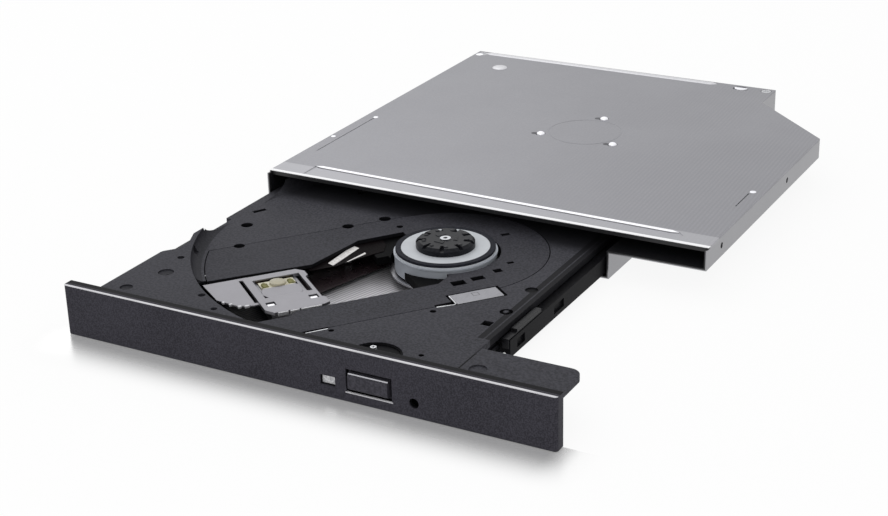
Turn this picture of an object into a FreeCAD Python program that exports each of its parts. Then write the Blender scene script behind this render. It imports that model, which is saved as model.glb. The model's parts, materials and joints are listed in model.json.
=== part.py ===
import FreeCAD, Part

import math
import os
import re

import Sketcher

# A slim tray-loading disc drive with its tray part of the way out.
# Millimetres. The origin is the centre of the steel case's bottom face: +X to the right seen from
# the front, +Y to the rear, +Z up. The tray slides out along -Y.
# Pieces on the tray are placed from the left wall and from the bezel's back. Pieces of the
# pickup's sled are drawn in a frame of their own, with its origin on the spindle and its X axis
# along the pickup's travel, towards the rear.

SIZES = {
    # Steel case
    "chassis_width": 128.0,
    "chassis_depth": 126.1,
    "chassis_height": 12.7,
    "case_sheet": 0.6,
    "cover_sheet": 0.5,
    "deep_width": 102.3,
    "wing_height": 5.7,
    "wing_side": 88.75,
    "bevel_end": 113.2,
    "left": "=-chassis_width / 2",
    "right": "=chassis_width / 2",
    "front": "=-chassis_depth / 2",
    "rear": "=chassis_depth / 2",
    "step": "=left + deep_width",
    "wing_floor": "=chassis_height - wing_height",
    "case_top": "=chassis_height - cover_sheet",
    "bevel_slope": "=(bevel_end - wing_side) / (right - step)",
    "bevel_shift": "=case_sheet * sqrt(1 + bevel_slope ^ 2)",
    "inside_left": "=left + case_sheet",
    "inside_right": "=right - case_sheet",
    "inside_rear": "=rear - case_sheet",
    "step_inside": "=step - case_sheet",
    # Threaded mounting holes in the side walls
    "mount_bore": 0.8,
    "mount_boss": 1.5,
    "mount_boss_reach": 0.8,
    "mount_level": 9.9,
    "mount_first": 10.5,
    "mount_second": 60.5,
    # Top cover
    "cover_setback": 1.36,
    "hem_drop": 0.7,
    "hem_depth": 0.5,
    "skirt_gap": 0.1,
    "skirt_sheet": 0.4,
    "skirt_drop": 2.4,
    "skirt_start": 20.0,
    "skirt_length": 30.0,
    "dimple_radius": 1.5,
    "dimple_depth": 0.25,
    "dimple_circle": 13.0,
    "dimple_side": 65.6,
    "dimple_back": 66.3,
    "ring_radius": 10.8,
    "ring_width": 0.5,
    "ring_depth": 0.05,
    "strip_depth": 0.15,
    "strip_left": 10.0,
    "strip_right_inset": 8.5,
    "strip_right": "=chassis_width - strip_right_inset",
    "strip_front": 2.9,
    "strip_back": 9.3,
    "strip_back_right": 7.6,
    "strip_end": 6.0,
    "rear_strip_width": 82.0,
    "rear_strip_depth": 2.5,
    "groove_side": 3.4,
    "groove_width": 0.35,
    "groove_start": 20.0,
    "groove_end": 51.5,
    "slit_inset": 3.6,
    "slit_side": "=chassis_width - slit_inset",
    "slit_start": 30.0,
    "slit_end": 40.0,
    "tab_hole_radius": 2.3,
    "tab_hole_side": 92.0,
    "tab_hole_back": 3.1,
    "tab_hole_cut": 1.2,
    # Screws of the cover and of the connector board
    "screw_radius": 0.9,
    "screw_play": 0.05,
    "screw_head_radius": 1.6,
    "screw_head": 0.3,
    "screw_length": 1.4,
    "ear_length": 4.4,
    "ear_sheet": 1.2,
    "ear_hole_inset": 2.3,
    # Slide rails
    "tray_out": 81.66,
    "rail_share": 0.661,
    "rail_length": 118.0,
    "rail_inset": 1.5,
    "rail_gap": 0.5,
    "rail_width": 4.0,
    "rail_bottom": 1.3,
    "rail_top": 5.7,
    "groove_depth": 1.2,
    "groove_low": 2.9,
    "groove_high": 4.3,
    "keel_width": 1.0,
    "keel_top": 2.1,
    "keel_inset": 1.4,
    "slide_play": 0.2,
    "window_depth": 0.6,
    "top_groove_inset": 0.7,
    "top_groove_width": 0.9,
    "top_groove_depth": 0.5,
    "window_low": 2.4,
    "window_high": 4.6,
    "first_window": 3.5,
    "first_window_length": 4.0,
    "second_window": 23.0,
    "second_window_length": 5.5,
    "left_clip_length": 14.5,
    "right_clip_length": 16.5,
    "clip_width": 1.6,
    "clip_height": 1.1,
    "clip_hook": 2.0,
    "clip_front": 0.5,
    "clip_start": 4.0,
    "clip_strap": 0.4,
    "guide_start": 2.0,
    "guide_length": 118.0,
    "guide_base": 0.5,
    "guide_overhang": 0.1,
    "centre": "=left + deep_width / 2",
    "rail_outer": "=deep_width / 2 - case_sheet - rail_gap",
    "rail_inner": "=rail_outer - rail_width",
    "rail_front": "=front + rail_inset - tray_out * rail_share",
    # Tray
    "bezel_back": "=front - tray_out",
    "tray_length": 124.6,
    "tray_rear": "=bezel_back + tray_length",
    "tray_top": 10.8,
    "tray_bottom": 1.3,
    "tray_wall": 1.2,
    "recess_floor": 7.7,
    "floor_sheet": 1.0,
    "lip_bottom": 6.0,
    "spindle_left": 65.75,
    "spindle_back": 63.66,
    "recess_radius": 60.2,
    "plate_left": 5.5,
    "rim_right": 82.0,
    "lip_left": 2.4,
    "lip_left_front": 4.1,
    "lip_rim_end": 43.6,
    "lip_step": 58.4,
    "lip_right": 98.9,
    "rear_step": 13.0,
    "rear_step_side": 70.0,
    "tongue_reach": 1.0,
    "side_play": 0.3,
    "spindle_x": "=left + spindle_left",
    "spindle_y": "=bezel_back + spindle_back",
    "recess_rise": "=tray_top - recess_floor",
    "tray_side": "=rail_inner - side_play",
    "cavity_side": "=tray_side - tray_wall",
    "cavity_top": "=recess_floor - floor_sheet",
    "step_wall": "=left + rear_step_side",
    "side_plate_top": 9.3,
    "side_plate_sheet": 1.5,
    "side_plate_left": 100.9,
    "side_plate_inset": 2.6,
    "side_plate_right": "=chassis_width - side_plate_inset",
    "side_plate_depth": 16.4,
    "side_plate_corner": 3.0,
    "root_width": 0.6,
    "root_bottom": 7.1,
    "rim_window_low": 8.3,
    "rim_window_high": 10.1,
    "rim_window_width": 2.4,
    "rim_window_back": 34.0,
    "rim_window_reach": 14.0,
    # Openings of the tray
    "sled_angle": 51.0,
    "slide_gap": 0.25,
    "band_left": 26.5,
    "band_right": 29.4,
    "hub_circle": 26.0,
    "relief_top": 8.9,
    "square_hole": 2.45,
    "square_hole_side": 94.3,
    "square_hole_back": 31.2,
    "lane_left": 92.6,
    "lane_width": 3.0,
    "lane_height": 4.3,
    "button_port_left": 80.0,
    "button_port_width": 6.0,
    "button_port_low": 3.6,
    "button_port_high": 6.4,
    "pin_side": 94.4,
    "pin_level": 3.4,
    "pin_hole": 1.2,
    "mark_depth": 0.35,
    "well_depth": 0.7,
    "pit_radius": 6.4,
    "pit_side": 79.3,
    "pit_back": 6.0,
    "pit_lip": 0.3,
    "pit_shift": 3.3,
    "pit_screw_side": 76.9,
    "pit_screw_back": 9.7,
    "pit_screw_head": 0.8,
    "pit_screw_radius": 0.6,
    "pit_screw_length": 1.1,
    "rod_slot_outer": 49.5,
    "rod_slot_inner": 41.0,
    "rod_slot_width": 1.1,
    "motor_slot_inner": 3.4,
    "motor_slot_outer": 10.2,
    "motor_slot_near": 24.4,
    "motor_slot_far": 30.6,
    "screw_slot_outer": 14.6,
    "screw_slot_near": 28.3,
    "screw_slot_far": 30.1,
    # Bezel, button and indicator
    "bezel_thick": 3.0,
    "bezel_width": 128.8,
    "bezel_shift": 0.25,
    "bezel_skin": 1.3,
    "bezel_rib": 1.6,
    "bezel_end_round": 0.8,
    "bezel_front": "=bezel_back - bezel_thick",
    "skin_back": "=bezel_front + bezel_skin",
    "button_hole_left": 77.4,
    "button_hole_right": 89.0,
    "button_hole_low": 2.4,
    "button_hole_high": 8.0,
    "button_gap": 0.8,
    "button_proud": 0.65,
    "button_flange": 1.2,
    "button_flange_sheet": 0.7,
    "button_flange_gap": 0.1,
    "button_travel": 0.6,
    "button_edge": 0.5,
    "button_stem_width": 4.0,
    "button_stem_height": 1.8,
    "lamp_left": 70.7,
    "lamp_right": 74.6,
    "lamp_low": 2.8,
    "lamp_high": 5.2,
    "lamp_gap": 0.1,
    "lamp_inset": 0.9,
    "lamp_back_gap": 0.3,
    "tab_width": 6.0,
    "tab_reach": 4.0,
    "tab_sheet": 0.5,
    "tab_play": 0.1,
    "tab_hook": 0.9,
    "tab_first": 22.0,
    "tab_second": 52.0,
    "tab_third": 84.0,
    # Board behind the button
    "front_board_left": 68.0,
    "front_board_right": 87.4,
    "front_board_low": 1.9,
    "front_board_high": 6.5,
    "board_sheet": 0.8,
    "front_board_gap": 2.2,
    "switch_size": 3.0,
    "switch_height": 1.0,
    "lamp_size": 1.6,
    "board_front": "=bezel_back + tray_wall + front_board_gap",
    "button_tip": "=board_front - switch_height - button_travel - button_flange_gap",
    "lever_width": 2.2,
    "lever_height": 2.4,
    "lever_length": 5.0,
    "lever_gap": 0.25,
    # Latch
    "latch_pin_side": 89.4,
    "latch_pin_back": 6.6,
    "latch_pin_radius": 0.8,
    "latch_play": 0.05,
    "latch_low": 2.0,
    "latch_high": 3.4,
    "latch_eye": 1.7,
    "latch_arm": 1.1,
    "latch_pull": 4.0,
    "latch_swing": 16.0,
    "hook_thick": 1.4,
    "hook_gap": 0.3,
    "hook_overlap": 0.4,
    "post_radius": 0.9,
    "post_height": 3.4,
    "post_back": 12.5,
    "post_side": "=lane_left + lane_width / 2",
    "spring_inner": 1.0,
    "spring_outer": 1.4,
    "spring_height": 1.6,
    "link_radius": 0.5,
    "link_play": 0.3,
    "link_top": 5.0,
    "tongue_low": 3.8,
    "tongue_half": 1.5,
    "rod_radius": 0.9,
    "rod_level": 4.6,
    "solenoid_left": 73.1,
    "solenoid_length": 8.2,
    "solenoid_width": 4.6,
    "solenoid_low": 2.6,
    "solenoid_bore_play": 0.1,
    "solenoid_end": 0.8,
    # Ejector
    "ejector_side": 80.0,
    "ejector_level": 4.2,
    "ejector_radius": 1.0,
    "ejector_play": 0.1,
    "ejector_block_width": 7.0,
    "ejector_block_low": 2.0,
    "ejector_block_length": 10.8,
    "ejector_bore": 1.9,
    "ejector_bore_length": 9.6,
    "ejector_reach": 4.1,
    "ejector_tail": 5.2,
    "ejector_flange": 1.7,
    "ejector_flange_sheet": 0.8,
    "ejector_flange_back": 2.6,
    "ejector_spring_length": 1.9,
    "ejector_spring_inner": 1.2,
    "ejector_wall": "=tray_rear - tray_wall",
    # Boards, shield and connector
    "shield_sheet": 0.3,
    "shield_front": 8.0,
    "shield_left": 6.2,
    "shield_boss": 1.8,
    "shield_bore": 0.5,
    "shield_bore_depth": 3.0,
    "shield_screw_head": 1.2,
    "tray_board_low": 1.5,
    "tray_board_left": 12.0,
    "tray_board_right": 60.0,
    "tray_board_front": 74.0,
    "tray_board_rear": 108.0,
    "chip_height": 1.0,
    "flex_sheet": 0.2,
    "flex_wide": 20.0,
    "flex_side": 30.0,
    "flex_front": 75.0,
    "flex_rear_gap": 11.0,
    "socket_width": 31.0,
    "socket_side": 26.0,
    "socket_depth": 6.0,
    "socket_height": 4.0,
    "socket_wall": 0.8,
    "socket_pocket": 4.5,
    "socket_tongue": 1.0,
    "socket_gap": 0.1,
    "socket_split": 10.0,
    "connector_board_low": 1.0,
    "connector_board_left": 8.0,
    "connector_board_width": 60.0,
    "connector_board_depth": 9.0,
    "connector_board_gap": 0.2,
    "board_screw_radius": 0.6,
    "board_screw_head": 1.2,
    "board_screw_inset": 3.0,
    "standoff_radius": 1.6,
    # Sled frame and its fixings
    "frame_low": 4.4,
    "frame_high": 6.4,
    "cover_low": 6.7,
    "spindle_hole": 13.9,
    "ear_radius": 3.4,
    "grommet_radius": 2.0,
    "grommet_flange": 2.8,
    "grommet_flange_sheet": 0.3,
    "grommet_bore": 1.0,
    "grommet_gap": 0.05,
    "damper_screw": 0.9,
    "damper_head": 1.8,
    "damper_head_sheet": 0.6,
    "damper_thread": 0.5,
    # Shafts and feed drive, in the sled's frame
    "shaft_radius": 1.0,
    "shaft_level": 4.7,
    "shaft_play": 0.03,
    "main_shaft_side": 21.8,
    "main_shaft_outer": 60.4,
    "main_shaft_inner": 9.6,
    "side_shaft_side": 16.4,
    "side_shaft_outer": 64.8,
    "side_shaft_inner": 20.0,
    "clamp_length": 2.0,
    "clamp_half": 1.9,
    "clamp_sheet": 0.8,
    "feed_side": 29.4,
    "feed_outer": 49.3,
    "feed_inner": 9.2,
    "feed_radius": 1.1,
    "feed_journal": 0.8,
    "feed_journal_length": 3.1,
    "motor_length": 11.6,
    "motor_half": 2.3,
    "motor_low": 2.9,
    "motor_pocket_gap": 0.3,
    "motor_plate_high": 7.6,
    "motor_plate_near": 24.7,
    "motor_plate_far": 30.0,
    # Spindle
    "disc_level": 9.3,
    "base_radius": 14.0,
    "base_low": 2.8,
    "base_sheet": 0.5,
    "base_ear_circle": 16.6,
    "base_ear_radius": 1.9,
    "bearing_radius": 3.4,
    "bearing_top": 7.2,
    "spindle_radius": 1.45,
    "spindle_play": 0.04,
    "core_gap": 0.05,
    "core_radius": 11.0,
    "core_hub": 5.2,
    "core_low": 4.8,
    "core_high": 6.4,
    "tooth_width": 1.3,
    "tooth_tip": 0.9,
    "tooth_tip_width": 4.6,
    "tooth_count": 9,
    "coil_thick": 0.5,
    "coil_inner": 6.2,
    "coil_outer": 9.6,
    "can_radius": 12.9,
    "can_low": 3.8,
    "can_high": 8.3,
    "can_sheet": 0.5,
    "rim_radius": 13.1,
    "rim_sheet": 0.45,
    "seat_radius": 11.2,
    "seat_flange": 12.7,
    "seat_flange_sheet": 0.4,
    "rubber_outer": 12.6,
    "rubber_gap": 0.03,
    "rubber_proud": 0.05,
    "hub_radius": 7.45,
    "hub_height": 2.0,
    "hub_bevel": 0.7,
    "hub_slots": 9,
    "hub_slot_width": 1.1,
    "hub_slot_start": 4.8,
    "hub_slot_end": 7.6,
    "hub_slot_depth": 0.8,
    "claw_count": 3,
    "claw_width": 2.2,
    "claw_low": 0.35,
    "claw_height": 0.5,
    "claw_start": 4.6,
    "claw_inset": 0.15,
    "claw_gap": 0.1,
    "cap_radius": 1.4,
    "cap_height": 0.2,
    # Pickup
    "lens_radius": 44.0,
    "body_half": 5.35,
    "body_low": 3.0,
    "body_high": 7.2,
    "body_left": 5.2,
    "body_right": 16.6,
    "body_bevel": 4.6,
    "sleeve_outer": 41.7,
    "sleeve_inner": 35.4,
    "sleeve_half": 2.1,
    "sleeve_low": 3.2,
    "sleeve_high": 6.3,
    "fork_half": 2.0,
    "fork_outer": 47.5,
    "fork_inner": 44.7,
    "fork_reach": 18.0,
    "well_left": 4.2,
    "well_right": 5.6,
    "well_half": 4.6,
    "well_floor": 3.8,
    "pickup_cover_low": 7.6,
    "pickup_cover_high": 8.0,
    "plate_inner": 7.1,
    "plate_outer": 7.6,
    "plate_left": 5.3,
    "plate_right": 17.0,
    "plate_corner": 6.0,
    "plate_corner_right": 14.6,
    "plate_bevel": 1.0,
    "plate_step": 0.8,
    "plate_step_left": 3.4,
    "plate_step_right": 12.6,
    "wing_low_sheet": 0.4,
    "wing_gap": 0.8,
    "wing_gap_left": 5.0,
    "wing_gap_right": 9.0,
    "window_outer": 5.6,
    "window_inner": 6.2,
    "window_left": 2.8,
    "window_right": 8.3,
    "small_window": 2.2,
    "small_window_side": 11.9,
    "small_window_half": 5.3,
    "rest_half": 5.35,
    "rest_wall": 0.5,
    "yoke_gap": 0.2,
    "yoke_thick": 1.0,
    "yoke_base": 0.6,
    "yoke_high": 6.6,
    "holder_half": 2.9,
    "holder_left": 2.5,
    "holder_right": 2.6,
    "holder_low": 5.0,
    "holder_high": 7.7,
    "optic_radius": 2.0,
    "optic_seat": 0.5,
    "optic_edge": 0.3,
    "optic_top": 8.4,
    "follower_centre": 33.4,
    "follower_half": 1.6,
    "follower_low": 2.5,
    "follower_near": 27.6,
    "follower_far": 31.2,
    "follower_top": 4.1,
    "follower_gap": 0.3,
}

# Corners of plan outlines. On the tray: from the left wall and from the bezel's back. On the sled:
# along its travel and across it.
SLED_OUTLINES = {
    "frame_edge": [
        (-67.0, 19.0), (-67.0, -15.5), (-62.0, -21.0), (-48.0, -35.0), (3.5, -35.0), (8.0, -31.0),
        (18.0, -20.0), (29.0, -10.5), (29.0, -1.5), (18.0, 20.0), (8.0, 28.0), (-56.0, 28.0),
    ],
    "frame_slot": [
        (-62.6, 18.4), (-62.6, 11.5), (-64.0, 11.5), (-64.0, -15.5), (-61.0, -19.5), (-47.5, -32.5),
        (-10.0, -32.5), (-10.0, -24.0), (-13.0, -24.0), (-13.0, 6.5), (-16.0, 6.5), (-16.0, 11.5),
        (-22.4, 11.5), (-22.4, 18.4),
    ],
    "cover_slot": [
        (-66.0, 8.2), (-49.0, 7.6), (-33.0, 6.9), (-17.5, 16.4), (-5.0, 16.8), (-5.0, -14.2), (-9.0, -17.4),
        (-45.0, -17.7), (-47.0, -19.6), (-66.0, -19.6),
    ],
    "outer_plate": [
        (-50.0, 6.3), (-61.0, 6.3), (-60.2, -3.6), (-56.5, -8.9), (-52.7, -10.1), (-50.0, -10.1),
    ],
    "inner_plate": [
        (-47.6, -4.2), (-39.8, -4.2), (-38.0, -9.5), (-49.2, -9.5),
    ],
    "plate_relief": [
        (-76.2, 8.4), (-76.2, -3.6), (-71.2, -10.2), (-68.0, -11.6), (-68.0, -13.8), (-62.0, -19.8),
        (-54.2, -19.8), (-54.2, 8.4),
    ],
    "follower_arm": [
        (-39.0, -21.6), (-35.6, -21.6), (-31.8, -26.6), (-31.8, -31.2), (-35.0, -31.2),
        (-35.0, -28.0), (-39.0, -24.0),
    ],
}
TRAY_OUTLINES = {
    "edge_notch": [
        (3.0, 26.4), (5.2, 26.4), (5.6, 27.5), (7.9, 30.4), (7.9, 34.8), (5.5, 40.1), (5.5, 45.0),
        (3.0, 45.0),
    ],
    "slanted_slot": [(5.75, 65.4), (7.65, 68.7), (8.95, 67.9), (7.05, 64.6)],
    "pickup_strip": [
        (36.0, 37.6), (44.0, 37.6), (45.0, 42.0), (50.8, 61.2), (54.0, 74.5), (34.0, 74.5), (34.0, 50.0),
    ],
}

# Sets of like features: each row is one place and its size.
SETS = {
    # Round through holes in the tray's floor: from the left wall, from the bezel's back, radius.
    "floor_hole": [
        (10.1, 56.8, 1.6), (80.0, 31.5, 0.8), (25.0, 90.0, 1.1), (88.8, 10.4, 0.65),
        (63.0, 14.5, 0.7), (64.1, 12.4, 0.7),
    ],
    # Round holes across the seam between the tray and the sled's cover, placed in the same way.
    "seam_hole": [(16.4, 44.3, 1.45), (34.6, 67.5, 1.55), (40.7, 76.1, 1.6)],
    # Ring-shaped wells in the floor: from the left wall, from the bezel's back, outer and inner radius.
    "ring_well": [(95.4, 38.7, 1.6, 0.7)],
    # Small ports in the sled's cover: along, across, half their length, half their width.
    "cover_port": [
        (-4.5, -19.0, 1.8, 1.3), (0.85, -18.4, 1.7, 1.1), (7.0, -16.3, 1.1, 1.0), (11.8, -13.2, 0.9, 0.6),
        (18.1, 3.9, 1.2, 0.7),
    ],
    # Round hole in the sled's cover: along, across, radius.
    "cover_hole": [(-4.5, 20.5, 0.9)],
    # Round holes in the high plate at the front left.
    "plate_hole": [(12.0, 26.0, 0.9), (30.0, 9.9, 0.9), (37.1, 4.9, 0.8), (15.2, 16.3, 0.45)],
    # Shallow round marks of the mould's pins: from the left wall, from the bezel's back, radius.
    "high_mark": [(14.2, 17.05, 1.95), (11.0, 5.8, 1.6)],
    "side_mark": [(104.6, 7.2, 2.05)],
    "floor_mark": [(95.3, 52.2, 1.6)],
    # Fixing points of the sled's frame: along and across.
    "damper": [(-44.0, 30.5), (-30.0, -36.2), (28.5, -6.0)],
    # Bosses for the shield's screws: from the left wall, from the bezel's back.
    "shield_point": [(8.9, 12.0), (8.9, 104.0), (88.0, 117.0), (84.0, 20.0)],
    # Chips on the tray's board: from the left wall, from the bezel's back, width, depth.
    "chip": [(16.0, 76.0, 14.0, 14.0), (34.0, 84.0, 10.0, 12.0), (16.0, 95.0, 8.0, 8.0),
        (30.0, 100.0, 6.0, 4.0)],
    # Ears of the spindle's base: angle.
    "base_ear": [(0.0,), (100.0,), (-45.0,)],
}

doc = FreeCAD.newDocument("disc_drive")
dims = doc.addObject("Spreadsheet::Sheet", "dims")
names = set()


def put(name, size):
    """Writes one size into the sheet under its own name."""
    cell = f"A{len(names) + 1}"
    dims.set(cell, str(size))
    dims.setAlias(cell, name)
    names.add(name)
    return name


for name, size in SIZES.items():
    put(name, size)


def rows(name):
    """The named places of one set of features, written into the sheet."""
    return [[put(f"{name}_{row}_{part}", size) for part, size in zip("abcd", sizes)]
            for row, sizes in enumerate(SETS[name], 1)]


def corners(outlines, name):
    """The named corners of one outline, written into the sheet."""
    return [(put(f"{name}_{row}_a", a), put(f"{name}_{row}_b", b))
            for row, (a, b) in enumerate(outlines[name], 1)]


def bound(text):
    """The expression that reads each named size from the sheet."""
    return re.sub(r"[a-z]\w*", lambda word: f"dims.{word[0]}" if word[0] in names else word[0], str(text))


def across(text):
    return f"left + ({text})"


def behind(text):
    return f"bezel_back + ({text})"


def set_sizes(thing, **sizes):
    for name, text in sizes.items():
        thing.setExpression(name, bound(text))
    return thing


def move(thing, x=None, y=None, z=None):
    for axis, text in zip("xyz", (x, y, z)):
        if text is not None:
            thing.setExpression(f"Placement.Base.{axis}", bound(text))
    return thing


def on_sled(thing):
    """Turns and moves what is drawn in the sled's frame to its place in the tray."""
    thing.setExpression("Placement.Rotation.Angle", bound("sled_angle * 1 deg"))
    return move(thing, "spindle_x", "spindle_y")


def box(x, y, z):
    thing = doc.addObject("Part::Box", "block")
    for side, axis, (low, high) in zip(("Length", "Width", "Height"), "xyz", (x, y, z)):
        thing.setExpression(side, bound(f"({high}) - ({low})"))
        thing.setExpression(f"Placement.Base.{axis}", bound(low))
    return thing


TURNS = {
    "x": FreeCAD.Rotation(FreeCAD.Vector(0, 1, 0), 90),
    "y": FreeCAD.Rotation(FreeCAD.Vector(1, 0, 0), -90),
    "z": FreeCAD.Rotation(),
}


def rod(x, y, z, radius):
    """A cylinder along the one axis that is given as a pair."""
    ends = {"x": x, "y": y, "z": z}
    along = next(axis for axis, place in ends.items() if isinstance(place, tuple))
    low, high = ends[along]
    thing = doc.addObject("Part::Cylinder", "rod")
    thing.Placement = FreeCAD.Placement(FreeCAD.Vector(), TURNS[along])
    set_sizes(thing, Radius=radius, Height=f"({high}) - ({low})")
    ends[along] = low
    return move(thing, **ends)


def draw_outline(sketch, points):
    """A closed outline with every corner held from the sketch's origin."""
    count = len(points)
    start = sketch.GeometryCount
    turn = 2 * math.pi / count
    rough = [FreeCAD.Vector(9 * math.cos(turn * i), 9 * math.sin(turn * i)) for i in range(count)]
    sketch.addGeometry([Part.LineSegment(rough[i], rough[(i + 1) % count]) for i in range(count)])
    for i in range(count):
        after = start + (i + 1) % count
        sketch.addConstraint(Sketcher.Constraint("Coincident", start + i, 2, after, 1))
    for i, point in enumerate(points):
        for kind, text, now in zip(("DistanceX", "DistanceY"), point, (rough[i].x, rough[i].y)):
            index = sketch.addConstraint(Sketcher.Constraint(kind, -1, 1, start + i, 1, now))
            sketch.setExpression(f"Constraints[{index}]", bound(text))


def draw_circle(sketch, x, y, radius):
    index = sketch.addGeometry(Part.Circle(FreeCAD.Vector(1, 1, 0), FreeCAD.Vector(0, 0, 1), 1))
    for kind, text in (("DistanceX", x), ("DistanceY", y)):
        constraint = sketch.addConstraint(Sketcher.Constraint(kind, -1, 1, index, 3, 1))
        sketch.setExpression(f"Constraints[{constraint}]", bound(text))
    constraint = sketch.addConstraint(Sketcher.Constraint("Radius", index, 1))
    sketch.setExpression(f"Constraints[{constraint}]", bound(radius))


def rectangle(x, y):
    (x0, x1), (y0, y1) = x, y
    return [(x0, y0), (x1, y0), (x1, y1), (x0, y1)]


def prism(points, z):
    """A plan outline raised from one level to another."""
    low, high = z
    sketch = doc.addObject("Sketcher::SketchObject", "plan")
    draw_outline(sketch, points)
    move(sketch, z=low)
    thing = doc.addObject("Part::Extrusion", "prism")
    thing.Base = sketch
    thing.DirMode = "Custom"
    thing.Dir = FreeCAD.Vector(0, 0, 1)
    thing.Solid = True
    return set_sizes(thing, LengthFwd=f"({high}) - ({low})")


def joined(kind, things):
    if len(things) == 1:
        return things[0]
    thing = doc.addObject(kind, "joined")
    thing.Shapes = things
    return thing


def fuse(*things):
    thing = joined("Part::MultiFuse", things)
    if len(things) > 1:
        thing.Refine = True
    return thing


def common(*things):
    return joined("Part::MultiCommon", things)


def group(things):
    """Solids that stay apart but are moved together."""
    thing = doc.addObject("Part::Compound", "set")
    thing.Links = list(things)
    return thing


def cut(base, *tools):
    thing = doc.addObject("Part::Cut", "cut")
    thing.Base = base
    thing.Tool = fuse(*tools)
    thing.Refine = True
    return thing


PLANES = {"x": "YZ_Plane", "y": "XZ_Plane", "z": "XY_Plane"}
SENSE = {"x": 1, "y": -1, "z": 1}


class Body:
    """One piece made of sketched features."""

    def __init__(self, name):
        self.body = doc.addObject("PartDesign::Body", name)

    def origin(self, role):
        return next(part for part in self.body.Origin.OriginFeatures if part.Role == role)

    def sketch(self, axis, level, outlines, circles):
        sketch = self.body.newObject("Sketcher::SketchObject", "outline")
        sketch.AttachmentSupport = (self.origin(PLANES[axis]), [""])
        sketch.MapMode = "FlatFace"
        sketch.setExpression("AttachmentOffset.Base.z", bound(f"{SENSE[axis]} * ({level})"))
        for points in outlines:
            draw_outline(sketch, points)
        for circle in circles:
            draw_circle(sketch, *circle)
        return sketch

    def feature(self, kind, axis, level, span, outlines, circles):
        sketch = self.sketch(axis, level, outlines, circles)
        thing = self.body.newObject(f"PartDesign::{kind}", kind.lower())
        thing.Profile = sketch
        sketch.Visibility = False
        low, high = span
        return set_sizes(thing, Length=f"({high}) - ({low})")

    def pad(self, axis, span, *outlines, circles=()):
        return self.feature("Pad", axis, span[0] if SENSE[axis] > 0 else span[1], span, outlines, circles)

    def pocket(self, axis, span, *outlines, circles=()):
        return self.feature("Pocket", axis, span[1] if SENSE[axis] > 0 else span[0], span, outlines, circles)

    def revolve(self, kind, points):
        """Turns a profile of radius and height about the body's upright axis."""
        sketch = self.sketch("y", "0", [points], [])
        thing = self.body.newObject(f"PartDesign::{kind}", kind.lower())
        thing.Profile = sketch
        thing.ReferenceAxis = (sketch, ["V_Axis"])
        thing.Angle = 360
        return thing

    def repeat(self, feature, count):
        thing = self.body.newObject("PartDesign::PolarPattern", "repeat")
        thing.Originals = [feature]
        thing.Axis = (self.origin("Z_Axis"), [""])
        thing.Angle = 360
        self.body.Tip = thing
        return set_sizes(thing, Occurrences=count)

    def edges(self, test):
        """The names of the tip's edges that pass the test."""
        doc.recompute()
        found = []
        for index, edge in enumerate(self.body.Tip.Shape.Edges, 1):
            if test(edge):
                found.append(f"Edge{index}")
        return found

    def edge_cut(self, kind, size, test):
        names_of_edges = self.edges(test)
        tip = self.body.Tip
        thing = self.body.newObject(f"PartDesign::{kind}", kind.lower())
        thing.Base = (tip, names_of_edges)
        return set_sizes(thing, **{"Radius" if kind == "Fillet" else "Size": size})


def now(name):
    """The present value of one size."""
    return float(dims.get(name))


def is_edge(edge, axis, y):
    """Whether a straight edge runs along an axis at a given y."""
    direction = edge.tangentAt(edge.FirstParameter)
    return abs(getattr(direction, axis)) > 0.999 and abs(edge.CenterOfMass.y - y) < 0.001


nodes = {}


def node(name):
    """Keeps what a function makes as the sub-part of that name."""
    def keep(make):
        thing = make()
        thing.Label = name
        nodes[name] = thing
        return make
    return keep


# Case: floor, walls, the raised wing on the right and the bevelled corner behind it

def bevel(x, shift):
    """Where the bevelled corner's line, or one beside it, lies at a given x."""
    return f"front + bevel_end - bevel_slope * ({x} - step) - {shift}"


def wing_outline(near, far, start, shift):
    return [(near, start), (far, start), (far, bevel(far, shift)), (near, bevel(near, shift))]


def mount_places():
    return [f"front + {place}" for place in ("mount_first", "mount_second")]


def ear_places():
    return [("left + ear_hole_inset", "rear - ear_hole_inset"),
        ("step - ear_hole_inset", "rear - ear_hole_inset")]


def board_screw_places():
    y = "inside_rear - connector_board_gap - connector_board_depth / 2"
    return [
        (across("connector_board_left + board_screw_inset"), y),
        (across("connector_board_left + connector_board_width - board_screw_inset"), y),
    ]


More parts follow.
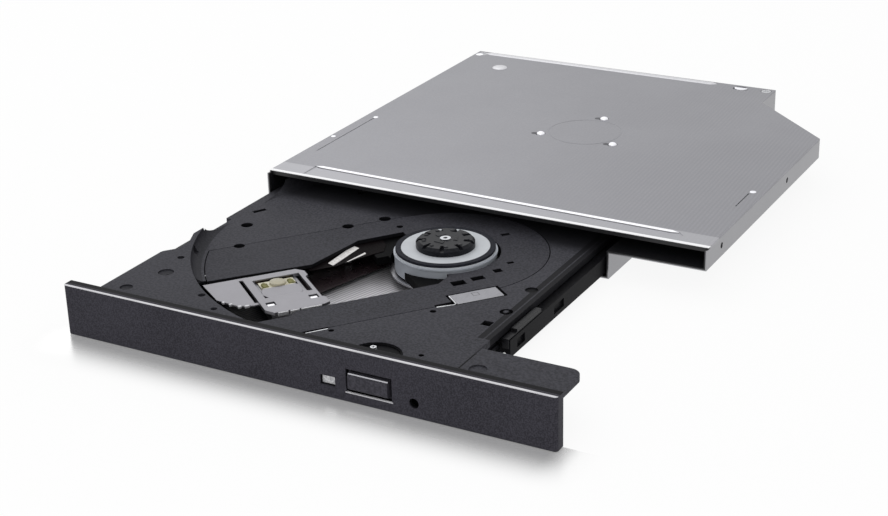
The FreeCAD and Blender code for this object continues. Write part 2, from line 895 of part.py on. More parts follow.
@node("bottom_case")
def bottom_case():
    outer = fuse(
        box(("left", "step"), ("front", "rear"), ("0", "case_top")),
        prism(wing_outline("step_inside", "right", "front", "0"), ("wing_floor", "case_top")),
    )
    inner = fuse(
        box(("inside_left", "step_inside"), ("front - case_sheet", "inside_rear"),
            ("case_sheet", "chassis_height")),
        prism(wing_outline("step_inside - case_sheet", "inside_right", "front - case_sheet", "bevel_shift"),
              ("wing_floor + case_sheet", "chassis_height")),
    )
    half = "case_sheet / 2"
    ear_y = ("inside_rear - ear_length", f"inside_rear + {half}")
    ear_z = ("case_top - ear_sheet", "case_top")
    added = [
        box((f"inside_left - {half}", "inside_left + ear_length"), ear_y, ear_z),
        box(("step_inside - ear_length", f"step_inside + {half}"), ear_y, ear_z),
    ]
    holes = []
    for y in mount_places():
        added.append(rod((f"inside_left - {half}", "inside_left + mount_boss_reach"), y, "mount_level",
            "mount_boss"))
        added.append(rod(("inside_right - mount_boss_reach", f"inside_right + {half}"), y, "mount_level",
            "mount_boss"))
        holes.append(rod(("left - case_sheet", "inside_left + mount_boss_reach + case_sheet"), y,
            "mount_level",
                         "mount_bore"))
        holes.append(rod(("inside_right - mount_boss_reach - case_sheet", "right + case_sheet"), y,
            "mount_level",
                         "mount_bore"))
    for x, y in board_screw_places():
        added.append(rod(x, y, (half, "connector_board_low"), "standoff_radius"))
        holes.append(rod(x, y, ("case_sheet", "connector_board_low + case_sheet"), "board_screw_radius"))
    for x, y in ear_places():
        holes.append(rod(x, y, ("case_top - 2 * ear_sheet", "chassis_height"), "screw_radius"))
    holes.append(box(
        (across("socket_side - socket_gap"), across("socket_side + socket_width + socket_gap")),
        ("inside_rear - case_sheet", "rear + case_sheet"),
        ("connector_board_low + board_sheet - socket_gap",
            "connector_board_low + board_sheet + socket_height + socket_gap"),
    ))
    return cut(fuse(cut(outer, inner), *added), *holes)


@node("top_cover")
def top_cover():
    piece = Body("top_cover")
    start = "front + cover_setback"
    piece.pad("z", ("case_top", "chassis_height"), [
        ("left", start), ("right", start), ("right", bevel("right", "0")), ("step", bevel("step", "0")),
        ("step", "rear"), ("left", "rear"),
    ])
    piece.pad("z", ("case_top - hem_drop", "case_top"),
              rectangle(("inside_left + slide_play", "inside_right - slide_play"),
                  (start, f"{start} + hem_depth")))
    skirt_y = ("front + skirt_start", "front + skirt_start + skirt_length")
    for side in ("inside_left + skirt_gap", "inside_right - skirt_gap - skirt_sheet"):
        piece.pad("z", ("case_top - skirt_drop", "case_top"),
            rectangle((side, f"{side} + skirt_sheet"), skirt_y))
    middle = (across("dimple_side"), "front + dimple_back")
    dimples = [(f"{middle[0]} + dimple_circle * cos({turn} deg)",
        f"{middle[1]} + dimple_circle * sin({turn} deg)",
                "dimple_radius") for turn in (90, 210, 330)]
    piece.pocket("z", ("chassis_height - dimple_depth", "chassis_height"), circles=dimples)
    piece.pocket("z", ("chassis_height - ring_depth", "chassis_height"),
                 circles=[(*middle, "ring_radius"), (*middle, "ring_radius - ring_width")])
    piece.pocket("z", ("chassis_height - strip_depth", "chassis_height"), [
        (across("strip_left"), "front + strip_front"), (across("strip_right"), "front + strip_front"),
        (across("strip_right"), "front + strip_end"),
            (across("strip_right - dimple_radius"), "front + strip_back_right"),
        (across("strip_left"), "front + strip_back"),
    ])
    piece.pocket("z", ("chassis_height - strip_depth", "chassis_height"), rectangle(
        (across("2 * ear_length"), across("rear_strip_width")),
            ("rear - rear_strip_depth", "rear - strip_depth")))
    piece.pocket("z", ("chassis_height - strip_depth", "chassis_height"), rectangle(
        (across("groove_side - groove_width / 2"), across("groove_side + groove_width / 2")),
        ("front + groove_start", "front + groove_end")))
    piece.pocket("z", ("chassis_height - dimple_depth", "chassis_height"), rectangle(
        (across("slit_side - groove_width / 2"), across("slit_side + groove_width / 2")),
        ("front + slit_start", "front + slit_end")))
    piece.pocket("z", ("chassis_height - dimple_depth", "chassis_height"), circles=[
        (across("tab_hole_side"), "rear - tab_hole_back", "tab_hole_radius")])
    piece.pad("z", ("chassis_height - dimple_depth", "chassis_height"), rectangle(
        (across("tab_hole_side - tab_hole_radius"), across("tab_hole_side + tab_hole_radius")),
        ("rear - tab_hole_back - tab_hole_radius", "rear - tab_hole_back - tab_hole_cut")))
    piece.pocket("z", ("chassis_height - screw_head", "chassis_height"), circles=[
        (x, y, "screw_head_radius + screw_play") for x, y in ear_places()])
    piece.pocket("z", ("case_top - cover_sheet", "chassis_height"), circles=[
        (x, y, "screw_radius + screw_play") for x, y in ear_places()])
    return piece.body


@node("case_screws")
def case_screws():
    screws = []
    for x, y in ear_places():
        screws.append(fuse(
            rod(x, y, ("chassis_height - screw_head", "chassis_height"), "screw_head_radius"),
            rod(x, y, ("chassis_height - screw_head - screw_length", "chassis_height - screw_head / 2"),
                "screw_radius"),
        ))
    top = "connector_board_low + board_sheet"
    for x, y in board_screw_places():
        screws.append(fuse(
            rod(x, y, (top, f"{top} + screw_head"), "board_screw_head"),
            rod(x, y, ("case_sheet", f"{top} + screw_head / 2"), "board_screw_radius"),
        ))
    return group(screws)


# Slide rails, the strips that guide them, and their clips

def beside(side, near, far):
    """From one distance to another beside the deep part's middle, to the right or to the left."""
    if side > 0:
        return f"centre + ({near})", f"centre + ({far})"
    return f"centre - ({far})", f"centre - ({near})"


RAIL_Y = ("rail_front", "rail_front + rail_length")
RAIL_THROUGH = ("rail_front - rail_width", "rail_front + rail_length + rail_width")


def rail(side):
    keel = "rail_outer - keel_inset"
    windows = [box(beside(side, "rail_outer - window_depth", "rail_outer + slide_play"),
                   (f"rail_front + {name}", f"rail_front + {name} + {name}_length"),
                       ("window_low", "window_high"))
               for name in ("first_window", "second_window")]
    return cut(
        box(beside(side, "rail_inner", "rail_outer"), RAIL_Y, ("rail_bottom", "rail_top")),
        box(beside(side, "rail_inner - slide_play", "rail_inner + groove_depth"), RAIL_THROUGH,
            ("groove_low", "groove_high")),
        box(beside(side, f"{keel} - keel_width - slide_play", f"{keel} + slide_play"), RAIL_THROUGH,
            ("rail_bottom - slide_play", "keel_top + slide_play")),
        box(beside(side, "rail_inner + top_groove_inset", "rail_inner + top_groove_inset + top_groove_width"),
            RAIL_THROUGH, ("rail_top - top_groove_depth", "rail_top + slide_play")),
        *windows,
    )


def rail_clip(side, length):
    x = beside(side, "rail_outer - slide_play - clip_width", "rail_outer - slide_play")
    top, strap = "rail_top + clip_height", "rail_top + clip_strap"
    return fuse(
        box(x, ("rail_front - clip_front", f"rail_front + {length}"), ("rail_top", strap)),
        box(x, ("rail_front + clip_start", f"rail_front + {length}"), ("rail_top", top)),
        box(x, ("rail_front - clip_front", "rail_front"), ("rail_top - clip_hook", strap)),
    )


def rail_guide(side):
    y = ("front + guide_start", "front + guide_start + guide_length")
    return fuse(
        box(beside(side, "rail_inner - side_play", "rail_outer + guide_overhang"), y,
            ("case_sheet", "case_sheet + guide_base")),
        box(beside(side, "rail_outer - keel_inset - keel_width", "rail_outer - keel_inset"), y,
            ("case_sheet", "keel_top")),
    )


@node("left_rail")
def left_rail():
    return rail(-1)


@node("right_rail")
def right_rail():
    return rail(1)


@node("left_rail_clip")
def left_rail_clip():
    return rail_clip(-1, "left_clip_length")


@node("right_rail_clip")
def right_rail_clip():
    return rail_clip(1, "right_clip_length")


@node("left_rail_guide")
def left_rail_guide():
    return rail_guide(-1)


@node("right_rail_guide")
def right_rail_guide():
    return rail_guide(1)


@node("lock_post")
def lock_post():
    return rod("post_side + left", "front + post_back", ("case_sheet", "case_sheet + post_height"),
        "post_radius")


# Boards and connector in the case

@node("connector_board")
def connector_board():
    piece = Body("connector_board")
    z = ("connector_board_low", "connector_board_low + board_sheet")
    back = "inside_rear - connector_board_gap"
    piece.pad("z", z, rectangle((across("connector_board_left"),
        across("connector_board_left + connector_board_width")),
                                (f"{back} - connector_board_depth", back)))
    piece.pocket("z", z, circles=[(x, y, "board_screw_radius") for x, y in board_screw_places()])
    return piece.body


@node("sata_connector")
def sata_connector():
    low = "connector_board_low + board_sheet"
    high = f"{low} + socket_height"
    left_side = across("socket_side")
    right_side = across("socket_side + socket_width")
    middle = f"{low} + socket_height / 2"
    tongue_y = ("rear - socket_pocket - socket_wall / 2", "rear - socket_wall")
    tongue_z = (f"{middle} - socket_tongue / 2", f"{middle} + socket_tongue / 2")
    shell = cut(
        box((left_side, right_side), ("rear - socket_depth", "rear"), (low, high)),
        box((f"{left_side} + socket_wall", f"{right_side} - socket_wall"),
            ("rear - socket_pocket", "rear + socket_wall"),
            (f"{low} + socket_wall", f"{high} - socket_wall")),
    )
    return fuse(
        shell,
        box((f"{left_side} + 2 * socket_wall", f"{left_side} + socket_split"), tongue_y, tongue_z),
        box((f"{left_side} + socket_split + 2 * socket_wall", f"{right_side} - 2 * socket_wall"), tongue_y,
            tongue_z),
    )


@node("chassis_flex")
def chassis_flex():
    return box((across("flex_side"), across("flex_side + flex_wide")),
               ("front + flex_front", "inside_rear - flex_rear_gap"),
                   ("case_sheet", "case_sheet + flex_sheet"))


# Tray

TRAY_X = ("centre - tray_side", "centre + tray_side")


def slab_outline():
    return [
        (across("plate_left"), "bezel_back"), (across("lip_right"), "bezel_back"),
            (across("lip_right"), "tray_rear"),
        (across("lip_left"), "tray_rear"), (across("lip_left"), behind("lip_step")),
        (across("lip_left_front"), behind("lip_step")), (across("lip_left_front"), behind("lip_rim_end")),
        (across("plate_left"), behind("lip_rim_end")),
    ]


def sled_opening():
    """The hole in the tray's floor that the sled's cover fills."""
    z = ("lip_bottom", "tray_top")
    band = box(("-recess_radius - 1", "0"), ("-band_right", "band_left"), z)
    return on_sled(fuse(
        common(band, rod("0", "0", z, "recess_radius")),
        rod("0", "0", z, "hub_circle + slide_gap"),
    ))


def rod_slot(z):
    return box(("-rod_slot_outer", "-rod_slot_inner"),
               ("-feed_side - rod_slot_width / 2", "-feed_side + rod_slot_width / 2"), z)


def motor_slot(z):
    return fuse(
        box(("-motor_slot_outer", "motor_slot_inner"), ("-motor_slot_far", "-motor_slot_near"), z),
        box(("-screw_slot_outer", "-motor_slot_outer + slide_gap"),
            ("-screw_slot_far", "-screw_slot_near"), z),
    )


def bowl():
    ring = doc.addObject("Part::Torus", "ring")
    set_sizes(ring, Radius1="recess_radius", Radius2="recess_rise")
    move(ring, "spindle_x", "spindle_y", "tray_top")
    return fuse(rod("spindle_x", "spindle_y", ("cavity_top", "tray_top + recess_rise"), "recess_radius"),
        ring)


def pin_marks(name, top):
    """The shallow round marks of one set in a surface at this level."""
    return [rod(across(x), behind(y), (f"{top} - mark_depth", f"{top} + mark_depth"), r)
            for x, y, r in rows(name)]


def crescent(z):
    """The deep part at the rear of the screw's round recess."""
    return cut(rod(across("pit_side"), behind("pit_back"), z, "pit_radius - pit_lip"),
               rod(across("pit_side"), behind("pit_back - pit_shift"), z, "pit_radius - pit_lip"))


DAMPERS = rows("damper")
SEAM_HOLES = rows("seam_hole")
SHIELD_POINTS = rows("shield_point")


def seam_holes(z):
    return [rod(across(x), behind(y), z, r) for x, y, r in SEAM_HOLES]


@node("tray")
def tray():
    side = ("centre - cavity_side", "centre + cavity_side")
    deep = ("tray_bottom - tray_wall", "cavity_top")
    block = fuse(
        prism(slab_outline(), ("lip_bottom", "recess_floor")),
        box(TRAY_X, ("bezel_back", "tray_rear - rear_step"), ("tray_bottom", "recess_floor")),
        box(("step_wall", TRAY_X[1]), ("bezel_back", "tray_rear"), ("tray_bottom", "recess_floor")),
    )
    floor = cut(
        block,
        box(side, (behind("tray_wall"), "tray_rear - rear_step - tray_wall"), deep),
        box(("step_wall + tray_wall", side[1]), (behind("tray_wall"), "tray_rear - tray_wall"), deep),
        sled_opening(),
    )
    plate_x = (across("side_plate_left"), across("side_plate_right"))
    plate_y = ("bezel_back", behind("side_plate_depth"))
    corner = (f"{plate_x[1]} - side_plate_corner", f"{plate_y[1]} - side_plate_corner")
    plate_z = ("side_plate_top - side_plate_sheet", "side_plate_top")
    rounding = cut(
        box((corner[0], f"{plate_x[1]} + side_plate_corner"),
            (corner[1], f"{plate_y[1]} + side_plate_corner"), plate_z),
        rod(*corner, plate_z, "side_plate_corner"),
    )
    rim = cut(box((across("plate_left"), across("rim_right")), ("bezel_back", "tray_rear"),
                  ("recess_floor", "tray_top")), bowl())
    tongues = [box(beside(turn, "cavity_side", "rail_inner + tongue_reach"),
                   (behind("tab_reach"), "tray_rear - rear_step"),
                   ("groove_low + slide_play", "groove_high - slide_play")) for turn in (-1, 1)]
    bosses = [rod(across(x), behind(y), ("tray_bottom", "recess_floor - floor_sheet / 2"), "shield_boss")
              for x, y in SHIELD_POINTS]
    whole = fuse(
        floor, rim, *tongues, *bosses,
        cut(box(plate_x, plate_y, plate_z), rounding),
        box((across("lip_right - root_width"), f"{plate_x[0]} + root_width"), plate_y,
            ("root_bottom", "recess_floor")),
        box((plate_x[0], f"{plate_x[0]} + root_width"), plate_y, ("root_bottom", "side_plate_top")),
        rod(across("latch_pin_side"), behind("latch_pin_back"),
            ("latch_low - slide_play", "recess_floor - floor_sheet / 2"),
            "latch_pin_radius"),
    )
    through = ("lip_bottom", "recess_floor + floor_sheet")
    well_z = ("recess_floor - well_depth", "recess_floor + floor_sheet")
    wall_y = ("bezel_back - tray_wall", behind("2 * tray_wall"))
    rear_y = ("tray_rear - 2 * tray_wall", "tray_rear + tray_wall")
    sled_holes = on_sled(group([
        prism(corners(SLED_OUTLINES, "plate_relief"), ("lip_bottom", "relief_top")),
    ]))
    slots = on_sled(group([rod_slot(through)]))
    motor = on_sled(group([motor_slot(through)]))
    threads = [on_sled(group([rod(x, y, ("cavity_top - floor_sheet", "cavity_top + damper_thread"),
        "damper_screw")]))
               for x, y in DAMPERS]
    tools = [
        prism([(across(x), behind(y)) for x, y in corners(TRAY_OUTLINES, "edge_notch")],
            ("recess_floor", "tray_top + tray_wall")),
        box((across("plate_left - tray_wall"), across("rim_window_reach")),
            (behind("rim_window_back - rim_window_width / 2"),
                behind("rim_window_back + rim_window_width / 2")),
            ("rim_window_low", "rim_window_high")),
        box((across("button_port_left"), across("button_port_left + button_port_width")), wall_y,
            ("button_port_low", "button_port_high")),
        box((across("lamp_left"), across("lamp_right")), wall_y, ("lamp_low", "lamp_high")),
        rod(across("pin_side"), wall_y, "pin_level", "pin_hole"),
        box((across("lane_left"), across("lane_left + lane_width")), rear_y,
            ("tray_bottom - tray_wall", "lane_height")),
        rod(across("ejector_side"), rear_y, "ejector_level", "ejector_radius + ejector_play"),
        rod(across("pit_side"), behind("pit_back"), ("recess_floor - mark_depth", "tray_top"), "pit_radius"),
        crescent(well_z),
        rod(across("pit_screw_side"), behind("pit_screw_back"), ("lip_bottom", "recess_floor"),
            "pit_screw_radius"),
    ]
    half = "square_hole / 2"
    tools.append(box((across(f"square_hole_side - {half}"), across(f"square_hole_side + {half}")),
                     (behind(f"square_hole_back - {half}"), behind(f"square_hole_back + {half}")), through))
    tools += [rod(across(x), behind(y), through, r) for x, y, r in rows("floor_hole")]
    tools += [rod(across(x), behind(y), ("tray_top - recess_rise / 2", "tray_top + tray_wall"), r)
              for x, y, r in rows("plate_hole")]
    tools += seam_holes(through)
    tools += [cut(rod(across(x), behind(y), well_z, outer), rod(across(x), behind(y), well_z, inner))
              for x, y, outer, inner in rows("ring_well")]
    tools.append(prism([(across(x), behind(y)) for x, y in corners(TRAY_OUTLINES, "slanted_slot")], through))
    tools += pin_marks("high_mark", "tray_top")
    tools += pin_marks("side_mark", "side_plate_top")
    tools += pin_marks("floor_mark", "recess_floor")
    tools += [rod(across(x), behind(y), ("tray_bottom - tray_wall", "tray_bottom + shield_bore_depth"),
        "shield_bore")
              for x, y in SHIELD_POINTS]
    return cut(whole, sled_holes, slots, motor, *threads, *tools)


@node("tray_screw")
def tray_screw():
    x, y = across("pit_screw_side"), behind("pit_screw_back")
    seat = "recess_floor - well_depth"
    return fuse(
        rod(x, y, (seat, f"{seat} + 2 * screw_head"), "pit_screw_head"),
        rod(x, y, (f"{seat} - pit_screw_length", f"{seat} + screw_head"), "pit_screw_radius"),
    )


# Bezel with its button, indicator window and emergency hole

BUTTON_X = (across("button_hole_left + button_gap"), across("button_hole_right - button_gap"))
BUTTON_Z = ("button_hole_low + button_gap", "button_hole_high - button_gap")


@node("front_bezel")
def front_bezel():
    piece = Body("front_bezel")
    ends = ("-bezel_width / 2 - bezel_shift", "bezel_width / 2 - bezel_shift")
    piece.body.Tip = piece.pad("y", ("bezel_front", "bezel_back"), rectangle(ends, ("0", "chassis_height")))
    piece.edge_cut("Fillet", "bezel_end_round", lambda edge: is_edge(edge, "z", now("bezel_front")))
    bay_y = ("skin_back", "bezel_back")
    bay_z = ("bezel_rib", "chassis_height - bezel_rib")
    near, far = across("button_hole_left - 3 * tab_width / 2"), across("pin_side + tab_reach")
    for bay in ((f"{ends[0]} + bezel_rib", f"{near} - bezel_rib"), (near, far),
                (f"{far} + bezel_rib", f"{ends[1]} - bezel_rib")):
        piece.pocket("y", bay_y, rectangle(bay, bay_z))
    piece.pocket("y", ("bezel_front", "bezel_back"), rectangle(
        (across("button_hole_left"), across("button_hole_right")), ("button_hole_low", "button_hole_high")))
    piece.pocket("y", ("bezel_front", "bezel_back"),
                 rectangle((across("lamp_left"), across("lamp_right")), ("lamp_low", "lamp_high")))
    piece.pocket("y", ("bezel_front", "bezel_back"), circles=[(across("pin_side"), "pin_level", "pin_hole")])
    tab_top = "tray_bottom - tab_play"
    hook = behind("tray_wall + tab_play")
    for place in ("tab_first", "tab_second", "tab_third"):
        x = (across(f"{place} - tab_width / 2"), across(f"{place} + tab_width / 2"))
        piece.pad("z", (f"{tab_top} - tab_sheet", tab_top),
            rectangle(x, ("bezel_back - bezel_rib / 2", behind("tab_reach"))))
        piece.pad("z", (f"{tab_top} - tab_sheet", "tray_bottom + tab_hook"),
            rectangle(x, (hook, f"{hook} + tab_sheet")))
    return piece.body


@node("eject_button")
def eject_button():
    piece = Body("eject_button")
    flange = "skin_back + button_flange_gap"
    piece.body.Tip = piece.pad("y", ("bezel_front - button_proud", flange), rectangle(BUTTON_X, BUTTON_Z))
    face = now("bezel_front") - now("button_proud")
    piece.edge_cut("Chamfer", "button_edge", lambda edge: is_edge(edge, "x", face))
    piece.pad("y", (flange, f"{flange} + button_flange_sheet"), rectangle(
        (f"{BUTTON_X[0]} - button_flange", f"{BUTTON_X[1]} + button_flange"),
        (f"{BUTTON_Z[0]} - button_flange", f"{BUTTON_Z[1]} + button_flange")))
    middle = across("button_port_left + button_port_width / 2")
    level = "(button_port_low + button_port_high) / 2"
    piece.pad("y", (flange, "button_tip"), rectangle(
        (f"{middle} - button_stem_width / 2", f"{middle} + button_stem_width / 2"),
        (f"{level} - button_stem_height / 2", f"{level} + button_stem_height / 2")))
    return piece.body


@node("indicator_window")
def indicator_window():
    return box((across("lamp_left + lamp_gap"), across("lamp_right - lamp_gap")),
               ("bezel_front + lamp_inset", "bezel_back - lamp_back_gap"),
                   ("lamp_low + lamp_gap", "lamp_high - lamp_gap"))


@node("front_board")
def front_board():
    middle = across("(lamp_left + lamp_right) / 2")
    level = "(lamp_low + lamp_high) / 2"
    return group([
        box((across("front_board_left"), across("front_board_right")),
            ("board_front", "board_front + board_sheet"),
            ("front_board_low", "front_board_high")),
        box((f"{middle} - lamp_size / 2", f"{middle} + lamp_size / 2"),
            ("board_front - lamp_size", "board_front"),
            (f"{level} - lamp_size / 2", f"{level} + lamp_size / 2")),
    ])


@node("eject_switch")
def eject_switch():
    middle = across("button_port_left + button_port_width / 2")
    level = "(button_port_low + button_port_high) / 2"
    return box((f"{middle} - switch_size / 2", f"{middle} + switch_size / 2"),
        ("board_front - switch_height", "board_front"),
               (f"{level} - switch_size / 2", f"{level} + switch_size / 2"))


@node("emergency_lever")
def emergency_lever():
    start = behind("tray_wall + lever_gap")
    return box((across("pin_side - lever_width / 2"), across("pin_side + lever_width / 2")),
               (start, f"{start} + lever_length"),
                   ("pin_level - lever_height / 2", "pin_level + lever_height / 2"))


# Latch: shown let go, swung clear of the post's lane

@node("latch_lever")
def latch_lever():
    piece = Body("latch_lever")
    z = ("latch_low", "latch_high")
    reach = "post_side + hook_overlap - latch_pin_side"
    hook = "post_back + post_radius + hook_gap - latch_pin_back"
    piece.pad("z", z, circles=[("0", "0", "latch_eye")])
    piece.pad("z", z, [
        ("latch_arm", "0"), ("2 * latch_arm", hook), (reach, hook), (reach, f"{hook} + hook_thick"),
        ("0", f"{hook} + hook_thick"), ("-latch_arm", "latch_pull + link_radius"), ("-latch_arm", "0"),
    ])
    piece.pad("z", ("latch_low", "link_top"), circles=[("0", "latch_pull", "link_radius")])
    piece.pocket("z", z, circles=[("0", "0", "latch_pin_radius + latch_play")])
    piece.body.setExpression("Placement.Rotation.Angle", bound("latch_swing * 1 deg"))
    return move(piece.body, across("latch_pin_side"), behind("latch_pin_back"))


LINK_X = across("latch_pin_side - latch_pull * sin(latch_swing * 1 deg)")
LINK_Y = behind("latch_pin_back + latch_pull")


@node("solenoid_plunger")
def solenoid_plunger():
    z = ("tongue_low", "tongue_low + 2 * (rod_level - tongue_low)")
    tongue = cut(
        box((f"{LINK_X} - tongue_half", f"{LINK_X} + tongue_half"),
            (f"{LINK_Y} - tongue_half", f"{LINK_Y} + tongue_half"), z),
        rod(LINK_X, LINK_Y, ("latch_high", "link_top + tongue_half"), "link_radius + link_play"),
    )
    return fuse(tongue, rod((across("solenoid_left + 2 * solenoid_end"),
        f"{LINK_X} - link_radius - link_play"), LINK_Y,
                            "rod_level", "rod_radius"))


@node("latch_solenoid")
def latch_solenoid():
    return cut(
        box((across("solenoid_left"), across("solenoid_left + solenoid_length")),
            (f"{LINK_Y} - solenoid_width / 2", f"{LINK_Y} + solenoid_width / 2"),
                ("solenoid_low", "cavity_top")),
        rod((across("solenoid_left + solenoid_end"),
            across("solenoid_left + solenoid_length + solenoid_end")), LINK_Y,
            "rod_level", "rod_radius + solenoid_bore_play"),
        rod(across("pit_screw_side"), behind("pit_screw_back"),
            ("recess_floor - well_depth - pit_screw_length", "recess_floor"), "pit_screw_radius"),
    )


@node("latch_spring")
def latch_spring():
    x, y = across("latch_pin_side"), behind("latch_pin_back")
    z = ("latch_high + slide_play", "latch_high + slide_play + spring_height")
    return cut(rod(x, y, z, "spring_outer"), rod(x, y, z, "spring_inner"))


# Ejector at the tray's rear

EJECTOR = (across("ejector_side"), "ejector_level")


@node("ejector_plunger")
def ejector_plunger():
    x, z = EJECTOR
    return fuse(
        rod(x, ("ejector_wall - ejector_tail", "tray_rear + ejector_reach"), z, "ejector_radius"),
        rod(x, ("ejector_wall - ejector_flange_back - ejector_flange_sheet",
            "ejector_wall - ejector_flange_back"), z,
            "ejector_flange"),
    )


@node("ejector_housing")
def ejector_housing():
    x, z = EJECTOR
    return cut(
        box((f"{x} - ejector_block_width / 2", f"{x} + ejector_block_width / 2"),
            ("ejector_wall - ejector_block_length", "ejector_wall"), ("ejector_block_low", "cavity_top")),
        rod(x, ("ejector_wall - ejector_bore_length", "ejector_wall + tray_wall"), z, "ejector_bore"),
    )


@node("ejector_spring")
def ejector_spring():
    x, z = EJECTOR
    y = ("ejector_wall - ejector_bore_length", "ejector_wall - ejector_bore_length + ejector_spring_length")
    return cut(rod(x, y, z, "ejector_flange"), rod(x, y, z, "ejector_spring_inner"))


# Boards and shield under the tray

@node("tray_board")
def tray_board():
    return box((across("tray_board_left"), across("tray_board_right")),
        (behind("tray_board_front"), behind("tray_board_rear")),
               ("tray_board_low", "tray_board_low + board_sheet"))


@node("board_chips")
def board_chips():
    low = "tray_board_low + board_sheet"
    return group([box((across(x), across(f"{x} + {w}")), (behind(y), behind(f"{y} + {d}")),
        (low, f"{low} + chip_height"))
                  for x, y, w, d in rows("chip")])


@node("pickup_flex")
def pickup_flex():
    low = "tray_board_low + board_sheet"
    points = [(across(x), behind(y)) for x, y in corners(TRAY_OUTLINES, "pickup_strip")]
    return prism(points, (low, f"{low} + flex_sheet"))


@node("tray_shield")
def tray_shield():
    piece = Body("tray_shield")
    z = ("tray_bottom - shield_sheet", "tray_bottom")
    left_side, right_side = across("shield_left"), across("lane_left - slide_gap")
    start = behind("shield_front")
    short, long = "tray_rear - rear_step - slide_gap", "tray_rear - slide_gap"
    piece.pad("z", z, [
        (left_side, start), (right_side, start), (right_side, long), ("step_wall + slide_gap", long),
        ("step_wall + slide_gap", short), (left_side, short),
    ])
    piece.pocket("z", z, circles=[(across(x), behind(y), "shield_bore + screw_play") for x,
        y in SHIELD_POINTS])
    return piece.body


@node("shield_screws")
def shield_screws():
    low = "tray_bottom - shield_sheet"
    return group([fuse(
        rod(across(x), behind(y), (f"{low} - screw_head", low), "shield_screw_head"),
        rod(across(x), behind(y), (f"{low} - screw_head / 2", "tray_bottom + shield_bore_depth"),
            "shield_bore"),
    ) for x, y in SHIELD_POINTS])


# Sled: frame, cover, fixings, shafts and feed drive

FRAME_Z = ("frame_low", "frame_high")
SHAFTS = [
    ("-main_shaft_outer", "-main_shaft_inner", "-main_shaft_side"),
    ("-side_shaft_outer", "-side_shaft_inner", "side_shaft_side"),
]
FEED_END = "-feed_outer - feed_journal_length"


def channel(start, end, y, radius):
    """Room for a shaft, open towards the floor."""
    return [
        rod((start, end), y, "shaft_level", radius),
        box((start, end), (f"{y} - ({radius})", f"{y} + ({radius})"),
            ("frame_low - shaft_radius", "shaft_level")),
    ]


@node("traverse_frame")
def traverse_frame():
    ears = [rod(x, y, FRAME_Z, "ear_radius") for x, y in DAMPERS]
    holes = [rod(x, y, FRAME_Z, "grommet_radius + grommet_gap") for x, y in DAMPERS]
    channels = []
    for start, end, y in SHAFTS:
        channels += channel(f"{start} - shaft_play", f"{end} + shaft_play", y, "shaft_radius + shaft_play")
    channels += channel(f"{FEED_END} - shaft_play", "-feed_outer", "-feed_side", "feed_journal + shaft_play")
    pocket = box(("-feed_inner - 4 * motor_pocket_gap", "-feed_inner + motor_length + motor_pocket_gap"),
                 ("-feed_side - motor_half - motor_pocket_gap",
                     "-feed_side + motor_half + motor_pocket_gap"), FRAME_Z)
    plate = fuse(prism(corners(SLED_OUTLINES, "frame_edge"), FRAME_Z), *ears)
    return on_sled(cut(plate, prism(corners(SLED_OUTLINES, "frame_slot"), FRAME_Z), pocket,
                       rod("0", "0", FRAME_Z, "spindle_hole"), *holes, *channels))


@node("traverse_cover")
def traverse_cover():
    z = ("cover_low", "recess_floor")
    band = box(("-recess_radius - 1", "0"), ("-band_right + slide_gap", "band_left - slide_gap"), z)
    plate = fuse(
        common(band, rod("0", "0", z, "recess_radius - slide_gap")),
        rod("0", "0", z, "hub_circle"),
    )
    ports = [box((f"{x} - {length}", f"{x} + {length}"), (f"{y} - {width}", f"{y} + {width}"), z)
             for x, y, length, width in rows("cover_port")]
    holes = [rod(x, y, z, r) for x, y, r in rows("cover_hole")]
    sheet = on_sled(cut(plate, prism(corners(SLED_OUTLINES, "cover_slot"), z), *ports, *holes,
        rod("0", "0", z, "spindle_hole"),
                        rod_slot(z), motor_slot(z)))
    return cut(sheet, *seam_holes(z))


@node("damper_grommets")
def damper_grommets():
    top = "cavity_top"
    return on_sled(group([cut(
        fuse(
            rod(x, y, ("frame_low - grommet_flange_sheet", "frame_low"), "grommet_flange"),
            rod(x, y, ("frame_low - grommet_flange_sheet / 2", f"{top} - grommet_flange_sheet / 2"),
                "grommet_radius"),
            rod(x, y, ("frame_high", top), "grommet_flange"),
        ),
        rod(x, y, ("frame_low - grommet_flange_sheet", top), "grommet_bore"),
    ) for x, y in DAMPERS]))


@node("damper_screws")
def damper_screws():
    seat = "frame_low - grommet_flange_sheet"
    return on_sled(group([fuse(
        rod(x, y, (f"{seat} - damper_head_sheet", seat), "damper_head"),
        rod(x, y, (f"{seat} - damper_head_sheet / 2", "cavity_top + damper_thread"), "damper_screw"),
    ) for x, y in DAMPERS]))


@node("main_guide_shaft")
def main_guide_shaft():
    start, end, y = SHAFTS[0]
    return on_sled(group([rod((start, end), y, "shaft_level", "shaft_radius")]))


@node("side_guide_shaft")
def side_guide_shaft():
    start, end, y = SHAFTS[1]
    return on_sled(group([rod((start, end), y, "shaft_level", "shaft_radius")]))


def clamp(start, y, radius):
    """A keeper under one end of a shaft."""
    x = (start, f"{start} + clamp_length")
    seat = f"shaft_level - ({radius})"
    return cut(
        box(x, (f"{y} - clamp_half", f"{y} + clamp_half"), (f"{seat} - clamp_sheet", "frame_low")),
        box((f"{start} - clamp_length", f"{start} + 2 * clamp_length"),
            (f"{y} - ({radius})", f"{y} + ({radius})"),
            (seat, "frame_low + clamp_sheet")),
    )


@node("shaft_clamps")
def shaft_clamps():
    clamps = []
    for start, end, y in SHAFTS:
        clamps.append(clamp(start, y, "shaft_radius"))
        clamps.append(clamp(f"{end} - clamp_length", y, "shaft_radius"))
    clamps.append(clamp(FEED_END, "-feed_side", "feed_journal + shaft_play"))
    return on_sled(group(clamps))


